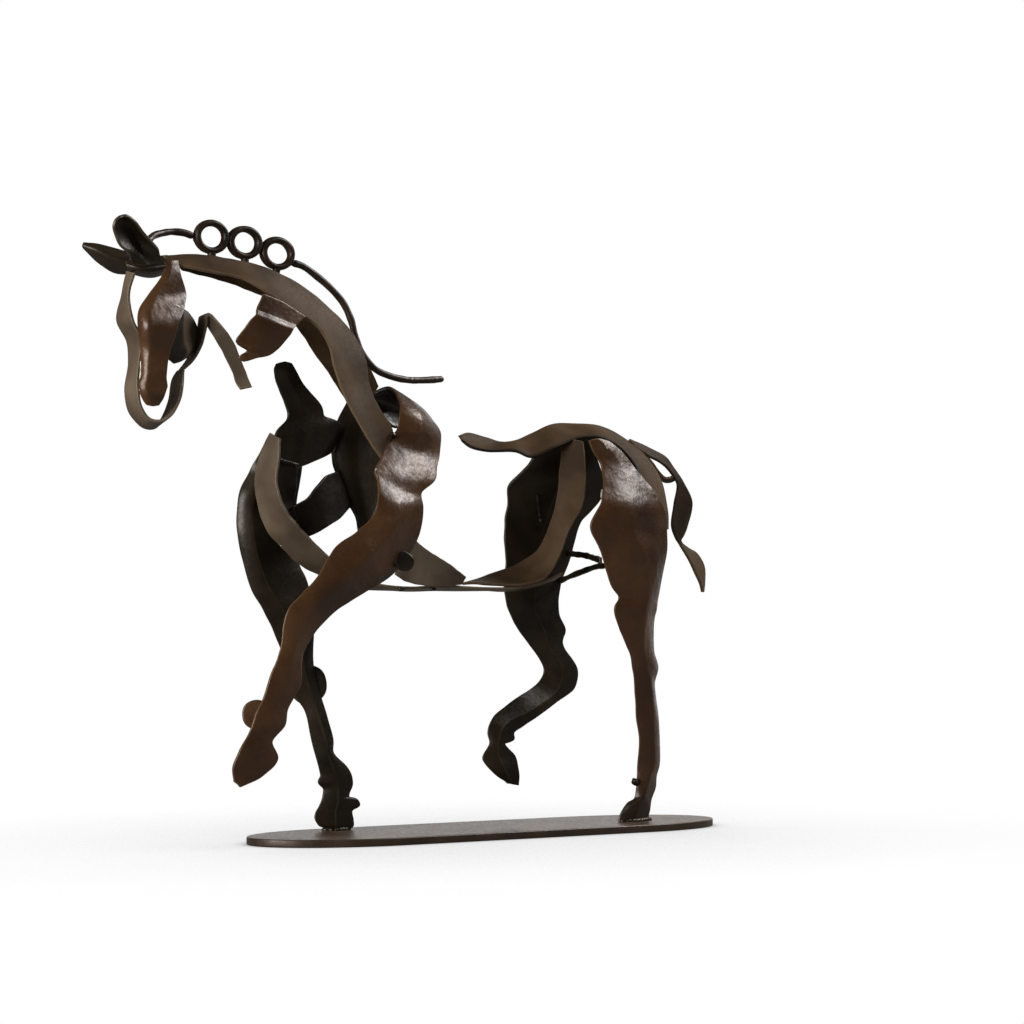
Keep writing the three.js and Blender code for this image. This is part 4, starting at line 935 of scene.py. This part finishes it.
for ringNumber in range(len(ringCentres)):
    maneRing(ringNumber)
for rodName, rodPath in maneRods.items():
    rodLine = domed(rodPath, mane["rodStep"], mane["rodRadius"])
    rodPoints, rodFaces = tube(rodLine, mane["rodRadius"], mane["rodAround"], 5, 0.1)
    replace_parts(meshPiece(rodName + "_fine", rodPoints, rodFaces, "rod"), rodName)


# Weld beads: each a line of points and the share of the usual radius that it has

welds = {"radius": 1.0, "pitch": 1.7, "ripple": 0.12, "step": 0.35, "around": 14}
weldLines = [
    ([[-68, 18.6, 0.3], [-62, 15.2, 0.3], [-55.5, 17.4, 0.3]], 1.0),
    ([[58, -9.6, 0.3], [64.5, -12.6, 0.3], [76, -7.6, 0.3]], 1.0),
    ([[-93.5, 3, 219.8], [-91, 3, 219.6]], 1.5),
    ([[-135, 3, 225.8], [-133, 3, 225.6]], 1.5),
    ([[-57, -14.2, 153], [-56.2, -14, 154]], 1.3),
    ([[-120.6, 3, 226.2], [-119.8, 3, 226]], 1.2),
    ([[-106.2, 3, 224.4], [-105.4, 3, 224.2]], 1.2),
    ([[63.6, -12.2, 15.6], [64.6, -12, 16.6]], 1.6),
    ([[-119.6, -7.6, 180.6], [-118.6, -8, 181]], 0.9),
    ([[-100, 1.4, 143.4], [-93.5, 2.8, 142.4], [-88, 4, 141.6]], 0.8),
    ([[-48, -5.4, 94.4], [-45.5, -5.4, 94.3]], 0.9),
    ([[-33, -5.4, 94.4], [-30.5, -5.4, 94.4]], 0.9),
    ([[37.3, 18.7, 134.5], [38.7, 19.9, 129], [40.6, 20.7, 123]], 0.7),
    ([[42.8, 20.4, 112], [43.3, 20.4, 110.5]], 0.8),
]
# bright beads put where light glints on rod ends, welds and sheet edges: painted highlights
glintLines = [
    ([[-37.9, 0.9, 177.6], [-37, 1, 177.5]], 0.6),
    ([[-25.4, 2.2, 178.5], [-24.5, 2.3, 178.6]], 0.6),
    ([[-148.4, -5.4, 214], [-148, -5.4, 213.6]], 0.5),
    ([[-93.1, 8.2, 111.2], [-92.8, 8.2, 110.9]], 0.55),
    ([[44, -18, 154.4], [45, -18.6, 151.6]], 0.4),
    ([[-149, -8.3, 198], [-147, -8, 197.6]], 0.3),
    ([[-161.7, -5.4, 177], [-161.7, -5.4, 171.6], [-162.2, -5.4, 166]], 0.25),
    ([[38.4, -23.3, 135], [37.6, -23.8, 131.6]], 0.3),
    ([[-68.4, -20, 139], [-68, -19.8, 140]], 0.4),
]


def weldBeads(name, lines, look):
    # a rippled tube along each line: r(s) = r0 (1 + ripple sin(2 pi s / pitch)), s mm along it, with the
    # ripples drifting as sin(s)
    parts = []
    for k, (line, size) in enumerate(lines):
        radius = welds["radius"] * size
        path = domed(line, welds["step"], radius)
        run = runAlong(path)
        phase = 2 * math.pi * run / welds["pitch"] + k + 1.5 * np.sin(run)
        ripple = 1 + welds["ripple"] * np.sin(phase)
        points, faces = tube(path, radius, welds["around"], k + 31, welds["ripple"] * size)
        centre = np.repeat(path, welds["around"], 0)
        points[:-2] = centre + (points[:-2] - centre) * np.repeat(ripple, welds["around"])[:, None]
        parts.append((points, faces))
    meshPiece(name, *joined(parts), look)


weldBeads("weld_beads", weldLines, "weld")
weldBeads("weld_beads_painted_glint", glintLines, "bare")
print("stage: base, mane and welds")


# Studio: pale floor, white surroundings, a soft key light at the upper right, weaker ones left and behind

studio = {"floorSize": 12.0, "back": "#ffffff", "shadeReach": 0.22, "shadeFrom": 0.3, "shadeDepth": 0.2,
          "floorCast": "#827f7c", "worldLight": 0.17, "worldShine": 0.05}
lights = {  # metres and watts
    "key_light": {"place": (0.8, -0.25, 0.92), "target": (0, 0, 0.12), "size": (0.75, 0.5), "power": 14},
    "fill_light": {"place": (-1.25, -0.2, 0.3), "target": (0, 0, 0.12), "size": (0.8, 0.8), "power": 20},
    "back_card": {"place": (1.0, 1.2, 0.35), "target": (0, 0, 0.1), "size": (2.0, 0.7), "power": 4.5},
}


def studioFloor():
    # a flat square, matt to the light it throws back; the camera sees it white, and darker the more of
    # the sky above a point is hidden within shadeReach
    half = studio["floorSize"] / 2
    mesh = bpy.data.meshes.new("floor")
    corners = [(-half, -half, 0), (half, -half, 0), (half, half, 0), (-half, half, 0)]
    mesh.from_pydata(corners, [], [(0, 1, 2, 3)])
    paint = bpy.data.materials.new("matt_studio_floor")
    tree = emptyTree(paint)
    path = addNode(tree, "ShaderNodeLightPath")
    nearby = addNode(tree, "ShaderNodeAmbientOcclusion", {"samples": 8}, {"Distance": studio["shadeReach"]})
    shade = addNode(tree, "ShaderNodeMapRange",
                    inputs={"From Min": studio["shadeFrom"], "To Min": studio["shadeDepth"]},
                    links=[("Value", nearby, "AO")])
    seen = addNode(tree, "ShaderNodeEmission", inputs={"Color": hexColour(studio["back"])},
                   links=[("Strength", shade, "Result")])
    cast = addNode(tree, "ShaderNodeBsdfDiffuse", inputs={"Color": hexColour(studio["floorCast"])})
    mix = addNode(tree, "ShaderNodeMixShader",
                  links=[(0, path, "Is Camera Ray"), (1, cast, "BSDF"), (2, seen, "Emission")])
    addNode(tree, "ShaderNodeOutputMaterial", links=[("Surface", mix, "Shader")])
    mesh.materials.append(paint)
    addObject("floor", mesh)


def studioWorld():
    # white to the camera, weak as a light, and weaker still in the gloss of the lacquer
    world = bpy.data.worlds.new("studio")
    tree = emptyTree(world)
    path = addNode(tree, "ShaderNodeLightPath")
    back = hexColour(studio["back"])
    seen, cast, shine = (
        addNode(tree, "ShaderNodeBackground", inputs={"Color": back, "Strength": strength})
        for strength in (1.0, studio["worldLight"], studio["worldShine"]))
    unseen = addNode(tree, "ShaderNodeMixShader",
                     links=[(0, path, "Is Glossy Ray"), (1, cast, "Background"), (2, shine, "Background")])
    mix = addNode(tree, "ShaderNodeMixShader",
                  links=[(0, path, "Is Camera Ray"), (1, unseen, "Shader"), (2, seen, "Background")])
    addNode(tree, "ShaderNodeOutputWorld", links=[("Surface", mix, "Shader")])
    bpy.context.scene.world = world


def areaLight(name, v):
    # a soft rectangle of light, turned to face its target
    data = bpy.data.lights.new(name, "AREA")
    data.shape = "RECTANGLE"
    data.size, data.size_y = v["size"]
    data.energy = v["power"]
    light = addObject(name, data)
    light.location = v["place"]
    x, y, z = np.array(v["place"]) - np.array(v["target"])
    light.rotation_euler = (math.atan2(math.hypot(x, y), z), 0, math.atan2(x, -y))
    light.visible_camera = False


studioFloor()
studioWorld()
for lightName, lightValues in lights.items():
    areaLight(lightName, lightValues)


# Camera, solved from the outline of the plate: 36 degrees round from the side, looking up by 2.45 degrees

view = {"placeMm": (-653.3, -913.7, 80.6), "yaw": 36.0, "pitch": 2.4545, "focalPixels": 2800,
        "imagePixels": 1024, "sensorMm": 36}


def placeCamera():
    # the lens is the sensor's width times the focal length over the picture's width, both in pixels
    data = bpy.data.cameras.new("camera")
    data.sensor_width = view["sensorMm"]
    data.lens = view["sensorMm"] * view["focalPixels"] / view["imagePixels"]
    data.clip_start, data.clip_end = 0.05, 50
    camera = addObject("camera", data)
    camera.location = np.array(view["placeMm"]) * mm
    camera.rotation_euler = (math.radians(90 + view["pitch"]), 0, -math.radians(view["yaw"]))
    bpy.context.scene.camera = camera


placeCamera()
bpy.context.scene.view_settings.view_transform = "Standard"
print("stage: studio and camera")
